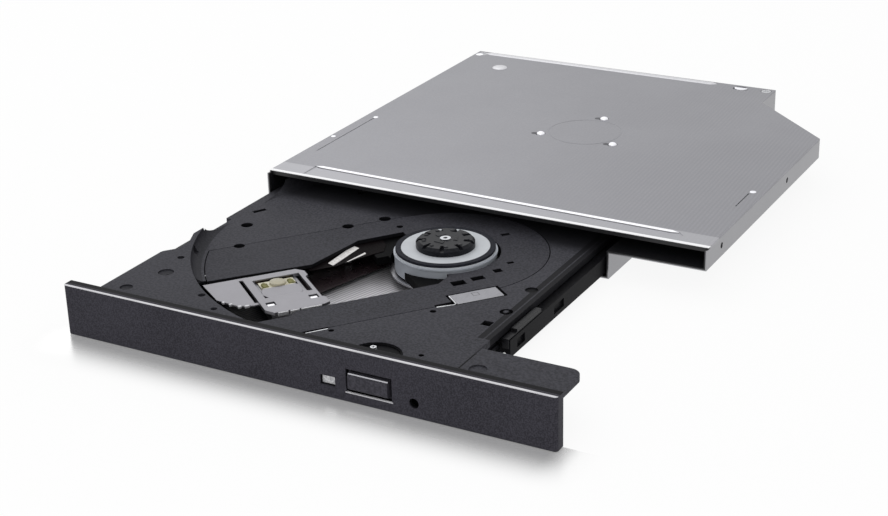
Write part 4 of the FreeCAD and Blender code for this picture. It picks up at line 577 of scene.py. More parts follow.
@dataclass(frozen=True)
class CaseSteel(RolledSteel):
    """The case's steel, its inside near black with painted shade."""

    inside_shade: Colour = shade(26, 26, 29)
    skin: float = 0.27
    step: Pair = (38.3, 7.0)
    bevel: Pair = (38.0, 25.0)

    def cover(self, graph: Graph) -> Sockets:
        """Adds painted shade on all that isn't the outside."""
        values = super().cover(graph)
        x, y, z = graph.axes()
        skin = self.skin
        inside = (x > LEFT_WALL + skin) * (x < -LEFT_WALL - skin) * (y < -MOUTH - skin) * (z > skin)
        step = 1.0 - (x > self.step[0] - skin) * (z < self.step[1] + skin)
        bevel = 1.0 - (y > self.bevel[1]) * (x > self.bevel[0])
        # Painted shade: the inside goes near black and loses its metal
        dark = inside * step * bevel
        self.lay(values, dark, self.inside_shade)
        values["Metallic"] = 1.0 - dark
        return values


@dataclass(frozen=True)
class BrightMetal(Finish):
    """Plated or ground metal with faint scratches."""

    metallic: float = 1.0
    scratch: float = 0.3

    def cover(self, graph: Graph) -> Sockets:
        """Gives scratches, smears and soft edges."""
        fine = graph.noise(0.25, (1.0, 0.15, 1.0), detail=4.0)
        smear = graph.noise(4.0)
        worn = fine.ramp(0.35, 0.7) * self.scratch
        return {
            "Base Color": graph.blend(worn, self.colour, darker(self.colour, 0.72)),
            "Roughness": self.roughness + (smear - 0.5) * 0.2 + (fine - 0.5) * 0.1,
            "Normal": graph.bump(fine, 0.002, self.edge),
        }


@dataclass(frozen=True)
class TurnedMetal(Finish):
    """Metal turned on a lathe about the spindle, with fine rings."""

    metallic: float = 0.75
    ring_pitch: float = 0.22

    def cover(self, graph: Graph) -> Sockets:
        """Gives the rings, smears and soft edges."""
        _, _, z = graph.axes()
        ring = graph.stripes(graph.from_spindle() + z, self.ring_pitch)
        smear = graph.noise(3.0, detail=3.0)
        tone = graph.blend(ring * 0.35, self.colour, darker(self.colour, 0.8))
        return {
            "Base Color": graph.blend(smear.ramp(0.3, 0.75) * 0.3, tone, darker(self.colour, 0.8)),
            "Roughness": self.roughness + (smear - 0.5) * 0.15,
            "Normal": graph.bump(ring, 0.003, self.edge),
        }


@dataclass(frozen=True)
class RibbedSheet(Finish):
    """Bright sheet under the sled with fine ribs pressed in slantwise."""

    metallic: float = 0.7
    turn: float = math.radians(-17.5)
    pitch: float = 0.95
    shade_from: float = -38.0
    dark: Colour = shade(24, 24, 27)

    def cover(self, graph: Graph) -> Sockets:
        """Gives the ribs and a soft sheen, and painted shade beyond them."""
        x, y, _ = graph.axes()
        along = (x - SPINDLE[0]) * math.cos(SLED_TURN) + (y - SPINDLE[1]) * math.sin(SLED_TURN)
        # Painted shade: the sheet beyond this point, under the pickup's outer plate, is laid near black and not
        # metal
        painted_shade = along < self.shade_from
        across = x * math.cos(self.turn) + y * math.sin(self.turn)
        rib = graph.stripes(across, self.pitch)
        worn = graph.noise(6.0)
        tone = graph.blend(rib.ramp(0.15, 0.6), darker(self.colour, 0.5), self.colour)
        tone = graph.blend(worn.ramp(0.3, 0.7) * 0.2, tone, darker(self.colour, 0.8))
        return {
            "Base Color": graph.blend(painted_shade, tone, self.dark),
            "Metallic": (1.0 - painted_shade) * self.metallic,
            "Roughness": self.roughness + (worn - 0.5) * 0.2,
            "Normal": graph.bump(rib, 0.06, self.edge),
        }


@dataclass(frozen=True)
class MotorCan(BrightMetal):
    """The motor's pressed cover, with a small stamped square."""

    stamp: Pair = sled_point(-3.2, -26.4)
    half: float = 0.9
    line: float = 0.22

    def cover(self, graph: Graph) -> Sockets:
        """Adds the stamped square's outline."""
        values = super().cover(graph)
        x, y, _ = graph.axes()
        cos, sin = math.cos(SLED_TURN), math.sin(SLED_TURN)
        across, up = x - self.stamp[0], y - self.stamp[1]
        along = graph.maths("ABSOLUTE", across * cos + up * sin)
        beside = graph.maths("ABSOLUTE", up * cos - across * sin)
        far = graph.maths("MAXIMUM", along, beside)
        outline = far.between(self.half - self.line, self.half)
        self.lay(values, outline * 0.8, darker(self.colour, 0.3))
        return values


@dataclass(frozen=True)
class CircuitBoard(Finish):
    """Solder mask over copper tracks, with rings round its vias."""

    copper: Colour = shade(60, 118, 70)
    gold: Colour = shade(190, 160, 90)
    waves: tuple[tuple[str, float, float, float], ...] = (("X", 0.35, 3.0, 0.5), ("Y", 0.3, 2.0, 0.4))

    def cover(self, graph: Graph) -> Sockets:
        """Gives tracks, vias and their faint height."""
        along, across = (
            graph.value("ShaderNodeTexWave", {"wave_type": "BANDS", "bands_direction": axis},
                        {"Vector": graph.place(), "Scale": scale, "Distortion": bend, "Detail": 0.0,
                         "Detail Scale": fine})
            for axis, scale, bend, fine in self.waves)
        pick = graph.noise(9.0).ramp(0.48, 0.52)
        track = (along * pick + across * (1.0 - pick)).ramp(0.62, 0.7)
        spots = graph.value("ShaderNodeTexVoronoi", {"feature": "F1"},
                            {"Vector": graph.place(), "Scale": 0.4})
        via = spots.ramp(0.16, 0.12)
        tone = graph.blend(track, self.colour, self.copper)
        return {
            "Base Color": graph.blend(via, tone, self.gold),
            "Roughness": self.roughness + track * 0.1,
            "Normal": graph.bump(track + via, 0.02, self.edge),
        }


@dataclass(frozen=True)
class FlatCable(Finish):
    """Film over side-by-side copper strips."""

    strip: Colour = shade(176, 116, 60)
    turn: float = 0.0
    pitch: float = 0.8
    show: float = 0.75

    def cover(self, graph: Graph) -> Sockets:
        """Gives the strips under the film."""
        x, y, _ = graph.axes()
        across = x * math.cos(self.turn) + y * math.sin(self.turn)
        wave = graph.maths("PINGPONG", across, self.pitch / 2)
        strip = wave.ramp(self.pitch * 0.12, self.pitch * 0.2)
        return {
            "Base Color": graph.blend(strip * self.show, self.colour, self.strip),
            "Roughness": self.roughness + graph.noise(2.0) * 0.2,
            "Normal": graph.bump(strip, 0.03, self.edge),
        }


@dataclass(frozen=True)
class HubMark(Moulded):
    """The hub's black middle with a pale ring printed round its centre."""

    pale: Colour = shade(214, 216, 220)
    ring_outer: float = 1.35
    ring_inner: float = 0.55

    def cover(self, graph: Graph) -> Sockets:
        """Adds the pale ring."""
        values = super().cover(graph)
        out = graph.from_spindle()
        ring = out.between(self.ring_inner, self.ring_outer)
        self.lay(values, ring, self.pale)
        return values


# Every finish of the drive, by its name
FINISHES = {finish.name: finish for finish in (
    LidSteel("lid_steel", shade(151, 151, 156), 0.42),
    CaseSteel("case_steel", shade(160, 160, 163), 0.4),
    # The next two are lighter copies of the steel: painted highlights on the lid's beads, dimples and marks,
    # the hole's plate and the pickup's tabs
    BrightMetal("bead_steel", shade(244, 244, 248), 0.5),
    BrightMetal("pale_steel", shade(208, 208, 211), 0.5),
    # A darker copy of the steel, used as painted shade beside the dimples
    BrightMetal("shade_steel", shade(92, 92, 96), 0.5),
    BrightMetal("screw_steel", shade(196, 197, 200), 0.3),
    Moulded("rail_plastic", shade(18, 18, 20), 0.42, gloss=0.03),
    Moulded("clip_plastic", shade(20, 20, 23), 0.3, gloss=0.12),
    CircuitBoard("board_green", shade(30, 84, 46), 0.35),
    Moulded("chip_black", shade(30, 30, 32), 0.5, grain=0.2),
    BrightMetal("pin_tin", shade(206, 206, 204), 0.3),
    BrightMetal("contact_gold", shade(222, 186, 104), 0.25),
    Moulded("socket_black", shade(32, 32, 34), 0.45),
    FlatCable("flex_amber", shade(120, 74, 40), 0.28),
    FlatCable("flex_dark", shade(30, 24, 27), 0.2, strip=shade(60, 48, 51), turn=math.radians(-17.5),
              pitch=0.7, show=0.35),
    FlatCable("flex_black", shade(10, 8, 9), 0.5, gloss=0.03, strip=shade(22, 16, 18),
              turn=math.radians(-17.5), pitch=0.7, show=0.4),
    Moulded("flex_label", shade(222, 218, 216), 0.4, wear_and_glint=0.0),
    TraySkin("tray_plastic", shade(57, 57, 62), 0.55),
    CoverSkin("cover_plastic", shade(54, 54, 59), 0.55),
    BezelSkin("bezel_plastic", shade(52, 51, 57), 0.45, gloss=0.04),
    ButtonSkin("button_plastic", shade(54, 53, 59), 0.4, gloss=0.08),
    Moulded("lamp_plastic", shade(196, 196, 200), 0.35, wear_and_glint=0.1),
    Moulded("lever_plastic", shade(200, 200, 196), 0.45),
    Moulded("solenoid_black", shade(50, 50, 54), 0.4),
    BrightMetal("bright_steel", shade(206, 207, 210), 0.2),
    RolledSteel("sheet_steel", shade(170, 170, 174), 0.35),
    RibbedSheet("ribbed_sheet", shade(192, 191, 195), 0.4),
    MotorCan("motor_can", shade(140, 140, 145), 0.4),
    Moulded("frame_metal", shade(9, 9, 10), 0.5, gloss=0.02),
    Moulded("damper_rubber", shade(40, 40, 42), 0.7),
    RolledSteel("core_steel", shade(96, 96, 100), 0.5),
    BrightMetal("coil_copper", shade(184, 106, 60), 0.3),
    TurnedMetal("can_steel", shade(172, 177, 185), 0.42, metallic=0.25),
    TurnedMetal("seat_white", shade(190, 194, 199), 0.5, metallic=0.0),
    Moulded("ring_rubber", shade(34, 35, 41), 0.6),
    Moulded("hub_black", shade(24, 25, 29), 0.35, gloss=0.1, wear_and_glint=0.8),
    HubMark("hub_mark", shade(24, 25, 29), 0.35),
    BrightMetal("pickup_metal", shade(128, 128, 132), 0.4),
    RolledSteel("pickup_cover_metal", shade(141, 140, 145), 0.4, line_size=1.2, lines=(0.4, 0.4, 1.0),
                edge=0.2),
    Moulded("optics_cream", shade(206, 200, 176), 0.4, wear_and_glint=0.1),
    Moulded("optics_olive", shade(112, 110, 70), 0.45, wear_and_glint=0.1),
    BrightMetal("yoke_brass", shade(196, 160, 96), 0.3),
    Moulded("holder_plastic", shade(36, 36, 40), 0.4),
    Finish("lens_glass", shade(196, 190, 168), 0.05, gloss=0.2,
           extra=(("Transmission Weight", 0.35), ("IOR", 1.4))),
)}

# Nodes that need another finish than the one named after their slot
NODE_FINISHES = {
    "top_cover": "lid_steel",
    "traverse_cover": "cover_plastic",
    "eject_button": "button_plastic",
    "tray_shield": "ribbed_sheet",
    "feed_motor_plate": "motor_can",
    "pickup_flex": "flex_dark",
    "hub_cap": "hub_mark",
    "rubber_ring": "ring_rubber",
}


class Workshop:
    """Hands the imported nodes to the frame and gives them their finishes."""

    def __init__(self) -> None:
        """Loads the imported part."""
        self.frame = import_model()
        self.slots = {s["node"]: s["material_slot"] for s in self.frame["record"]["subparts"]}

    def dress(self, node: str) -> None:
        """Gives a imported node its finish."""
        slot = self.slots[node]
        finish = FINISHES[NODE_FINISHES.get(node, slot)]
        mesh = self.frame["nodes"][node].data
        mesh.materials.clear()
        mesh.materials.append(finish.material())

    def dress_all(self) -> None:
        """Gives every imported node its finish."""
        for node in self.slots:
            self.dress(node)


class Blank:
    """A workpiece: points and faces in millimetres, turned into one piece at the end."""

    def __init__(self, frame: Matrix | None = None) -> None:
        """Starts empty, in the part's own frame or another."""
        self.mesh = bmesh.new()
        self.frame = frame or Matrix()

    def point(self, place: Sequence[float]) -> bmesh.types.BMVert:
        """Adds one point."""
        return self.mesh.verts.new(self.frame @ Vector(place))

    def surface(self, rows: Sequence[Sequence[Sequence[float]]]) -> None:
        """Adds a closed form through rings of points, with a face at either end.

        Args:
            rows: The rings, each with as many points as the next.
        """
        made = [[self.point(place) for place in row] for row in rows]
        width = len(made[0])
        for near, far in zip(made, made[1:]):
            for i in range(width):
                j = (i + 1) % width
                self.mesh.faces.new((near[i], near[j], far[j], far[i]))
        self.mesh.faces.new(list(reversed(made[0])))
        self.mesh.faces.new(made[-1])

    def plate(self, outline: Sequence[Pair], low: float, high: float,
              holes: Sequence[Sequence[Pair]] = ()) -> None:
        """Adds a flat plate with holes.

        Args:
            outline: Corners of its edge in plan.
            low: Its underside.
            high: Its top.
            holes: Corners of each hole.
        """
        loops = [[Vector((x, y, 0.0)) for x, y in loop] for loop in (outline, *holes)]
        bottom = [self.point((p.x, p.y, low)) for loop in loops for p in loop]
        top = [self.point((p.x, p.y, high)) for loop in loops for p in loop]
        for tri in tessellate_polygon(loops):
            self.mesh.faces.new([top[i] for i in tri])
            self.mesh.faces.new([bottom[i] for i in reversed(tri)])
        start = 0
        for loop in loops:
            for i in range(len(loop)):
                a, b = start + i, start + (i + 1) % len(loop)
                self.mesh.faces.new((bottom[a], bottom[b], top[b], top[a]))
            start += len(loop)

    def block(self, x: Pair, y: Pair, z: Pair) -> None:
        """Adds a block between two places on each axis."""
        self.plate([(x[0], y[0]), (x[1], y[0]), (x[1], y[1]), (x[0], y[1])], *z)

    def turned(self, centre: Pair, profile: Sequence[Pair], sides: int = 32) -> None:
        """Adds a turned form about an upright line.

        Args:
            centre: Where the line stands.
            profile: Radius and height of each step, from the bottom round to the top.
            sides: How many faces go round.
        """
        self.surface([[(x, y, z) for x, y in circle(centre, r, sides)] for r, z in profile])

    def wire(self, path: Sequence[Point], radius: float, sides: int = 8) -> None:
        """Adds a round wire along points.

        Args:
            path: The points that its middle goes through.
            radius: Its radius.
            sides: How many faces go round.
        """
        points = [Vector(place) for place in path]
        rows = []
        for i, point in enumerate(points):
            along = (points[min(i + 1, len(points) - 1)] - points[max(i - 1, 0)]).normalized()
            guide = Vector((0.0, 0.0, 1.0)) if abs(along.z) < 0.9 else Vector((1.0, 0.0, 0.0))
            side = guide.cross(along).normalized()
            up = along.cross(side)
            rows.append([point + side * radius * math.cos(a) + up * radius * math.sin(a)
                         for a in (2 * math.pi * k / sides for k in range(sides))])
        self.surface(rows)

    def make(self, name: str, body: Body, finish: str, slot: str, edge: float = 0.0) -> bpy.types.Object:
        """Turns the blank into a piece that rides on a body.

        Args:
            name: The piece's name.
            body: What it moves with.
            finish: Its finish's name.
            slot: The record's slot that it belongs to; not used.
            edge: Radius of its softened edges.

        Returns:
            The piece.
        """
        bmesh.ops.recalc_face_normals(self.mesh, faces=self.mesh.faces)
        if edge:
            sharp = [e for e in self.mesh.edges
                     if len(e.link_faces) == 2 and e.calc_face_angle() > SOFTENED_ANGLE]
            bmesh.ops.bevel(self.mesh, geom=sharp, offset=edge, segments=2, affect="EDGES",
                            clamp_overlap=True)
        bmesh.ops.scale(self.mesh, vec=(MM, MM, MM), verts=self.mesh.verts)
        data = bpy.data.meshes.new(name)
        self.mesh.to_mesh(data)
        self.mesh.free()
        data.polygons.foreach_set("use_smooth", [True] * len(data.polygons))
        data.set_sharp_from_angle(angle=SMOOTH_ANGLE)
        data.materials.append(FINISHES[finish].material())
        piece = bpy.data.objects.new(name, data)
        bpy.context.scene.collection.objects.link(piece)
        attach(piece, body.value)
        LOG.info("%s: %d faces, rides on %s", name, len(data.polygons), body.value)
        return piece


def cross_outline(centre: Pair, reach: float, half: float, turn: float = 0.3) -> list[Pair]:
    """Gives the corners of the cross that a screwdriver fits.

    Args:
        centre: The cross's middle.
        reach: Length of each arm.
        half: Half an arm's width.
        turn: How far it is turned, in radians.

    Returns:
        The corners in order.
    """
    corners = []
    for quarter in range(4):
        angle = turn + quarter * math.pi / 2
        cos, sin = math.cos(angle), math.sin(angle)
        for a, b in ((reach, -half), (reach, half), (half, half)):
            corners.append((centre[0] + cos * a - sin * b, centre[1] + sin * a + cos * b))
    return corners


def circle(centre: Pair, radius: float, sides: int = 32) -> list[Pair]:
    """Gives the corners of a circle."""
    return [(centre[0] + radius * math.cos(2 * math.pi * i / sides),
             centre[1] + radius * math.sin(2 * math.pi * i / sides)) for i in range(sides)]


def rounded_square(turn: float, power: float) -> Pair:
    """Gives a place on a rounded square's edge, 1 from its middle to its sides.

    Args:
        turn: The direction of the place, in radians.
        power: How round it is: 1 is a circle, less is squarer.

    Returns:
        The place.
    """
    cos, sin = math.cos(turn), math.sin(turn)
    return math.copysign(abs(cos) ** power, cos), math.copysign(abs(sin) ** power, sin)


@dataclass(frozen=True)
class Screw:
    """A kind of screw: its head's seat and face, its shank's ends and their radii."""

    head: Pair
    head_radius: float
    shank: Pair
    shank_radius: float
    pitch: float = 0.35
    root: float = 0.8
    rim: float = 0.93
    cross_reach: float = 0.58
    cross_half: float = 0.13

    def add(self, blank: Blank, centre: Pair) -> None:
        """Adds a screw with a cross in its head and a thread on its shank.

        Args:
            blank: The workpiece that gets it.
            centre: Where it stands.
        """
        seat, face = self.head
        step = seat + (face - seat) / 3
        cross = cross_outline(centre, self.head_radius * self.cross_reach, self.head_radius * self.cross_half)
        blank.plate(circle(centre, self.head_radius), min(seat, step), max(seat, step))
        blank.plate(circle(centre, self.head_radius * self.rim), min(step, face), max(step, face), [cross])
        low, high = self.shank
        turns = max(2, round((high - low) / self.pitch))
        root = self.shank_radius * self.root
        profile = []
        for i in range(turns):
            base = low + (high - low) * i / turns
            profile += [(root, base), (self.shank_radius, base + (high - low) / turns / 2)]
        blank.turned(centre, profile + [(root, high)], 16)


def helix(centre: Point, radius: float, height: float, turns: float) -> list[Point]:
    """Gives points of an upright helix, fourteen on each turn.

    Args:
        centre: The middle of its foot.
        radius: Its radius.
        height: How far it climbs.
        turns: How many turns it makes.

    Returns:
        The points.
    """
    steps = 14
    count = round(turns * steps)
    return [(centre[0] + radius * math.cos(2 * math.pi * i / steps),
             centre[1] + radius * math.sin(2 * math.pi * i / steps),
             centre[2] + height * i / count) for i in range(count + 1)]


class Assembly:
    """A group of pieces that belong together."""

    def build(self) -> None:
        """Runs the group's make methods in the order in which they are written."""
        for name, maker in vars(type(self)).items():
            if name.startswith("make_"):
                maker(self)


@dataclass
class Lid(Assembly):
    """The steel case's lid and shell: pressed beads, dimples, screws and the plug's contacts."""

    front_bead: Outline = ((10.0, 9.3), (118.0, 7.4))
    front_bead_half: float = 0.6
    front_bead_height: float = 0.24
    rear_bead: Outline = ((3.0, 124.6), (84.0, 124.4))
    rear_bead_half: float = 1.3
    rear_bead_height: float = 0.25
    dimple_radius: float = 1.2
    dimple_height: float = 0.75
    dimple_sunk: float = 0.15
    dimple_circle: float = 13.0
    dimple_middle: Pair = (65.6, 66.3)
    # A flat dark disc beside each dimple is its painted shade
    shade_disc_shift: Pair = (-1.7, -0.4)
    shade_disc_radius: float = 0.9
    shade_disc_height: float = 0.04
    punch_marks: tuple[tuple[float, float, float], ...] = (
        (3.5, 52.4, 0.75), (1.1, 32.5, 0.7), (125.0, 41.4, 0.85), (1.6, 122.6, 1.2))
    mark_height: float = 0.12
    soft_dimple: Pair = (14.5, 112.0)
    soft_radius: float = 2.4
    soft_height: float = 0.5
    tab_middle: Pair = (92.0, 124.0)
    tab_radius: float = 2.1
    tab_sunk: float = 0.22
    tab_proud: float = 0.05
    lid_screw: Screw = Screw((12.4, LID_TOP), 1.6, (11.0, 12.4), 0.9)
    lid_screw_places: Outline = ((-61.7, 60.75), (36.0, 60.75))
    board_screw: Screw = Screw((1.8, 2.1), 1.2, (0.6, 1.8), 0.6)
    board_screw_places: Outline = ((-53.0, 57.75), (1.0, 57.75))
    contact_rows: tuple[tuple[float, int], ...] = ((-35.6, 6), (-25.4, 13))
    contact_pitch: float = 1.27
    contact_width: float = 0.6
    contact_depth: Pair = (58.9, 61.9)
    contact_levels: Pair = (4.28, 4.36)

    def dome(self, blank: Blank, centre: Pair, radius: float, height: float, foot: float = LID_TOP) -> None:
        """Adds a low round dome pressed up from the lid.

        Args:
            blank: The workpiece that gets it.
            centre: Where it stands.
            radius: Its radius at the foot.
            height: Its height over the foot.
            foot: The foot's level.
        """
        turns = [math.pi / 2 * i / 6 for i in range(7)]
        profile = [(radius * math.cos(turn) + 0.01, foot + height * math.sin(turn)) for turn in turns]
        blank.turned(centre, [(radius, foot - 0.1), *profile], 28)

    def ridge(self, blank: Blank, ends: Sequence[Pair], half: float, height: float) -> None:
        """Adds a long rounded ridge whose ends run out flat.

        Args:
            blank: The workpiece that gets it.
            ends: Its two ends in plan.
            half: Half its width.
            height: Its height over the lid.
        """
        start, end = (Vector(place) for place in ends)
        along = (end - start).normalized()
        side = Vector((-along.y, along.x))
        length = (end - start).length
        rows = []
        for distance in (0.0, 0.4, 1.0, 2.0, length / 2, length - 2.0, length - 1.0, length - 0.4, length):
            full = min(1.0, distance / 2.0 + 0.08, (length - distance) / 2.0 + 0.08)
            middle = start + along * distance
            row = []
            for i in range(9):
                angle = math.pi * i / 8
                out = middle + side * half * full * math.cos(angle)
                row.append((out.x, out.y, LID_TOP - 0.05 + (height + 0.05) * full * math.sin(angle)))
            rows.append(row)
        blank.surface(rows)

    def make_beads(self) -> None:
        """Makes the front step's edge and the broad bead along the rear, in bright and pale steel as painted
        highlights.
        """
        front = Blank()
        self.ridge(front, [case_point(*place) for place in self.front_bead],
                   self.front_bead_half, self.front_bead_height)
        # The bright steel is a painted highlight along the front step's edge
        front.make("lid_front_bead", Body.CASE, "bead_steel", "case_steel")
        rear = Blank()
        self.ridge(rear, [case_point(*place) for place in self.rear_bead],
                   self.rear_bead_half, self.rear_bead_height)
        # The pale steel is a painted highlight on the rear bead
        rear.make("lid_rear_bead", Body.CASE, "pale_steel", "case_steel")

    def make_dimples(self) -> None:
        """Makes the dimples and small punch marks in bright steel and the soft dimple in pale steel, all
        painted highlight, with a disc of painted shade beside each dimple.
        """
        dimples, shade_discs = Blank(), Blank()
        for turn in (90.0, 210.0, 330.0):
            angle = math.radians(turn)
            x, y = case_point(self.dimple_middle[0] + self.dimple_circle * math.cos(angle),
                              self.dimple_middle[1] + self.dimple_circle * math.sin(angle))
            self.dome(dimples, (x + self.dimple_sunk, y), self.dimple_radius, self.dimple_height,
                      LID_TOP - self.dimple_sunk)
            # The darker disc is the dimple's painted shade
            self.dome(shade_discs, (x + self.shade_disc_shift[0], y + self.shade_disc_shift[1]), self.shade_disc_radius,
                      self.shade_disc_height)
        for x, y, radius in self.punch_marks:
            self.dome(dimples, case_point(x, y), radius, self.mark_height)
        # The bright steel on the dimples and marks is a painted highlight
        dimples.make("lid_dimples", Body.CASE, "bead_steel", "case_steel")
        shade_discs.make("lid_dimple_shade_discs", Body.CASE, "shade_steel", "case_steel")
        soft = Blank()
        self.dome(soft, case_point(*self.soft_dimple), self.soft_radius, self.soft_height)
        # The pale steel on the soft dimple is a painted highlight
        soft.make("lid_soft_dimple", Body.CASE, "pale_steel", "case_steel")

    def make_tab(self) -> None:
        """Makes a bright plate in the half-round hole at the rear, a painted highlight for the white that shows
        through it.
        """
        tab = Blank()
        x, y = case_point(*self.tab_middle)
        turns = [math.pi + math.pi * i / 16 for i in range(17)]
        outline = [(x + self.tab_radius * math.cos(a), y + self.tab_radius * math.sin(a)) for a in turns]
        tab.plate(outline, LID_TOP - self.tab_sunk, LID_TOP + self.tab_proud)
        # The bright steel is a painted highlight for the light seen through the hole
        tab.make("lid_hole_highlight", Body.CASE, "bead_steel", "case_steel", 0.04)

    def make_screws(self) -> None:
        """Makes the lid's and the connector board's screws."""
        screws = Blank()
        for place in self.lid_screw_places:
            self.lid_screw.add(screws, place)
        for place in self.board_screw_places:
            self.board_screw.add(screws, place)
        piece = screws.make("case_screw_set", Body.CASE, "screw_steel", "screw_steel", 0.03)
        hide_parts("case_screws")

    def make_contacts(self) -> None:
        """Makes the plug's gold contacts, six and thirteen of them on its two tongues."""
        contacts = Blank()
        for start, count in self.contact_rows:
            for i in range(count):
                x = start + self.contact_pitch * i
                contacts.block((x, x + self.contact_width), self.contact_depth, self.contact_levels)
        contacts.make("plug_contacts", Body.CASE, "contact_gold", "screw_steel", 0.02)


@dataclass
class Boards(Assembly):
    """The circuit boards' small parts."""

    chips: tuple[tuple[float, float, float, float], ...] = (
        (16.0, 76.0, 14.0, 14.0), (34.0, 84.0, 10.0, 12.0), (16.0, 95.0, 8.0, 8.0), (30.0, 100.0, 6.0, 4.0))
    board_top: float = 2.3
    pin_pitch: float = 0.8
    pin_width: float = 0.35
    pin_reach: float = 0.8
    pin_overlap: float = 0.05
    pin_top: float = 2.6
    part_start: Pair = (47.0, 78.0)
    part_pitch: Pair = (3.4, 6.5)
    part_size: Pair = (1.0, 0.8)
    part_top: float = 2.9
    end_width: float = 0.3
    end_proud: float = 0.02

    def make_pins(self) -> None:
        """Makes the rows of pins in front of and behind each chip."""
        pins = Blank()
        levels = (self.board_top, self.pin_top)
        for left, near, width, depth in self.chips:
            x0, y0 = tray_point(left, near)
            for i in range(1, int(width / self.pin_pitch) - 1):
                x = x0 + self.pin_pitch * (i + 0.3)
                across = (x, x + self.pin_width)
                pins.block(across, (y0 - self.pin_reach, y0 + self.pin_overlap), levels)
                pins.block(across, (y0 + depth - self.pin_overlap, y0 + depth + self.pin_reach), levels)
        pins.make("chip_pins", Body.TRAY, "pin_tin", "chip_black")

    def make_small_parts(self) -> None:
        """Makes nine small ceramic parts with tinned ends on the tray's board."""
        bodies, ends = Blank(), Blank()
        width, depth = self.part_size
        for i in range(9):
            x, y = tray_point(self.part_start[0] + self.part_pitch[0] * (i % 3),
                              self.part_start[1] + self.part_pitch[1] * (i // 3))
            bodies.block((x, x + width), (y, y + depth), (self.board_top, self.part_top))
            for start in (x - self.end_width, x + width):
                ends.block((start, start + self.end_width), (y - self.end_proud, y + depth + self.end_proud),
                           (self.board_top, self.part_top + self.end_proud))
        bodies.make("ceramic_bodies", Body.TRAY, "coil_copper", "chip_black", 0.05)
        ends.make("ceramic_ends", Body.TRAY, "pin_tin", "chip_black", 0.05)


@dataclass
class Tray(Assembly):
    """The tray's screws, springs, flat cable loop and thin wires."""

    shield_screw: Screw = Screw((1.0, 0.7), 1.2, (1.0, 4.3), 0.5)
    shield_places: Outline = ((8.9, 12.0), (8.9, 104.0), (88.0, 117.0), (84.0, 20.0))
    damper_screw: Screw = Screw((4.1, 3.5), 1.8, (4.1, 7.2), 0.9)
    damper_places: Outline = ((-44.0, 30.5), (-30.0, -36.2), (28.5, -6.0))
    pit_screw: Screw = Screw((7.0, 7.55), 0.8, (5.9, 7.0), 0.6)
    pit_place: Pair = (76.9, 9.7)
    latch_spring: Point = (25.4, -138.11, 3.75)
    ejector_spring: Point = (16.0, -29.01, 4.2)
    loop_levels: Pair = (6.45, 6.55)
    loop: Outline = ((-34.0, 5.8), (-27.0, 5.8), (-24.3, 7.0), (-13.0, 9.6), (-11.0, 13.5),
                     (-10.5, 21.0), (-19.0, 21.0), (-34.0, 10.0))
    labels: tuple[tuple[float, Outline], ...] = (
        (6.61, ((-28.4, 8.3), (-27.7, 6.3), (-18.1, 14.0), (-19.0, 16.2))),
        (6.58, ((-23.9, 7.2), (-23.6, 7.0), (-17.8, 9.8), (-17.6, 10.9))))
    slot_wire: tuple[Point, ...] = ((-48.2, -29.35, 7.2), (-44.2, -29.25, 7.25), (-40.6, -29.1, 7.2))
    cover_wire: tuple[Point, ...] = ((-14.3, -29.2, 7.4), (-10.2, -30.1, 7.6), (-9.6, -29.8, 7.65),
                                     (-9.5, -25.2, 7.65))

    def make_screws(self) -> None:
        """Makes the shield's, the dampers' and the pit's screws."""
        shield = Blank()
        for place in self.shield_places:
            self.shield_screw.add(shield, tray_point(*place))
        piece = shield.make("shield_screw_set", Body.TRAY, "screw_steel", "screw_steel", 0.03)
        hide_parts("shield_screws")
        dampers = Blank()
        for place in self.damper_places:
            self.damper_screw.add(dampers, sled_point(*place))
        piece = dampers.make("damper_screw_set", Body.TRAY, "screw_steel", "screw_steel", 0.04)
        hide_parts("damper_screws")
        pit = Blank()
        self.pit_screw.add(pit, tray_point(*self.pit_place))
        piece = pit.make("pit_screw", Body.TRAY, "screw_steel", "screw_steel", 0.04)
        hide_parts("tray_screw")

    def make_springs(self) -> None:
        """Makes the latch's and the ejector's wound springs."""
        latch = Blank()
        latch.wire(helix(self.latch_spring, radius=1.2, height=1.3, turns=3.5), radius=0.15)
        piece = latch.make("latch_spring_coil", Body.TRAY, "bright_steel", "bright_steel")
        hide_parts("latch_spring")
        ejector = Blank(Matrix.Translation(self.ejector_spring) @ Matrix.Rotation(math.radians(90.0), 4, "X"))
        ejector.wire(helix((0.0, 0.0, 0.2), radius=1.5, height=1.5, turns=3.0), radius=0.18)
        piece = ejector.make("ejector_spring_coil", Body.TRAY, "bright_steel", "bright_steel")
        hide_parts("ejector_spring")

    def make_loop(self) -> None:
        """Makes the flat cable's loop under the sled's cover, its pale stiffener and the small one."""
        cable = Blank(sled_frame())
        cable.plate(self.loop, *self.loop_levels)
        cable.make("flex_loop", Body.TRAY, "flex_black", "flex_amber")
        labels = Blank(sled_frame())
        for top, outline in self.labels:
            labels.plate(outline, self.loop_levels[1], top)
        labels.make("flex_labels", Body.TRAY, "flex_label", "flex_amber", 0.02)

    def make_wires(self) -> None:
        """Makes the thin bright wire in the narrow slot and the bent one round the motor's cover."""
        wires = Blank(sled_frame())
        wires.wire(self.slot_wire, radius=0.25)
        wires.wire(self.cover_wire, radius=0.2)
        wires.make("slot_wires", Body.TRAY, "bright_steel", "bright_steel")


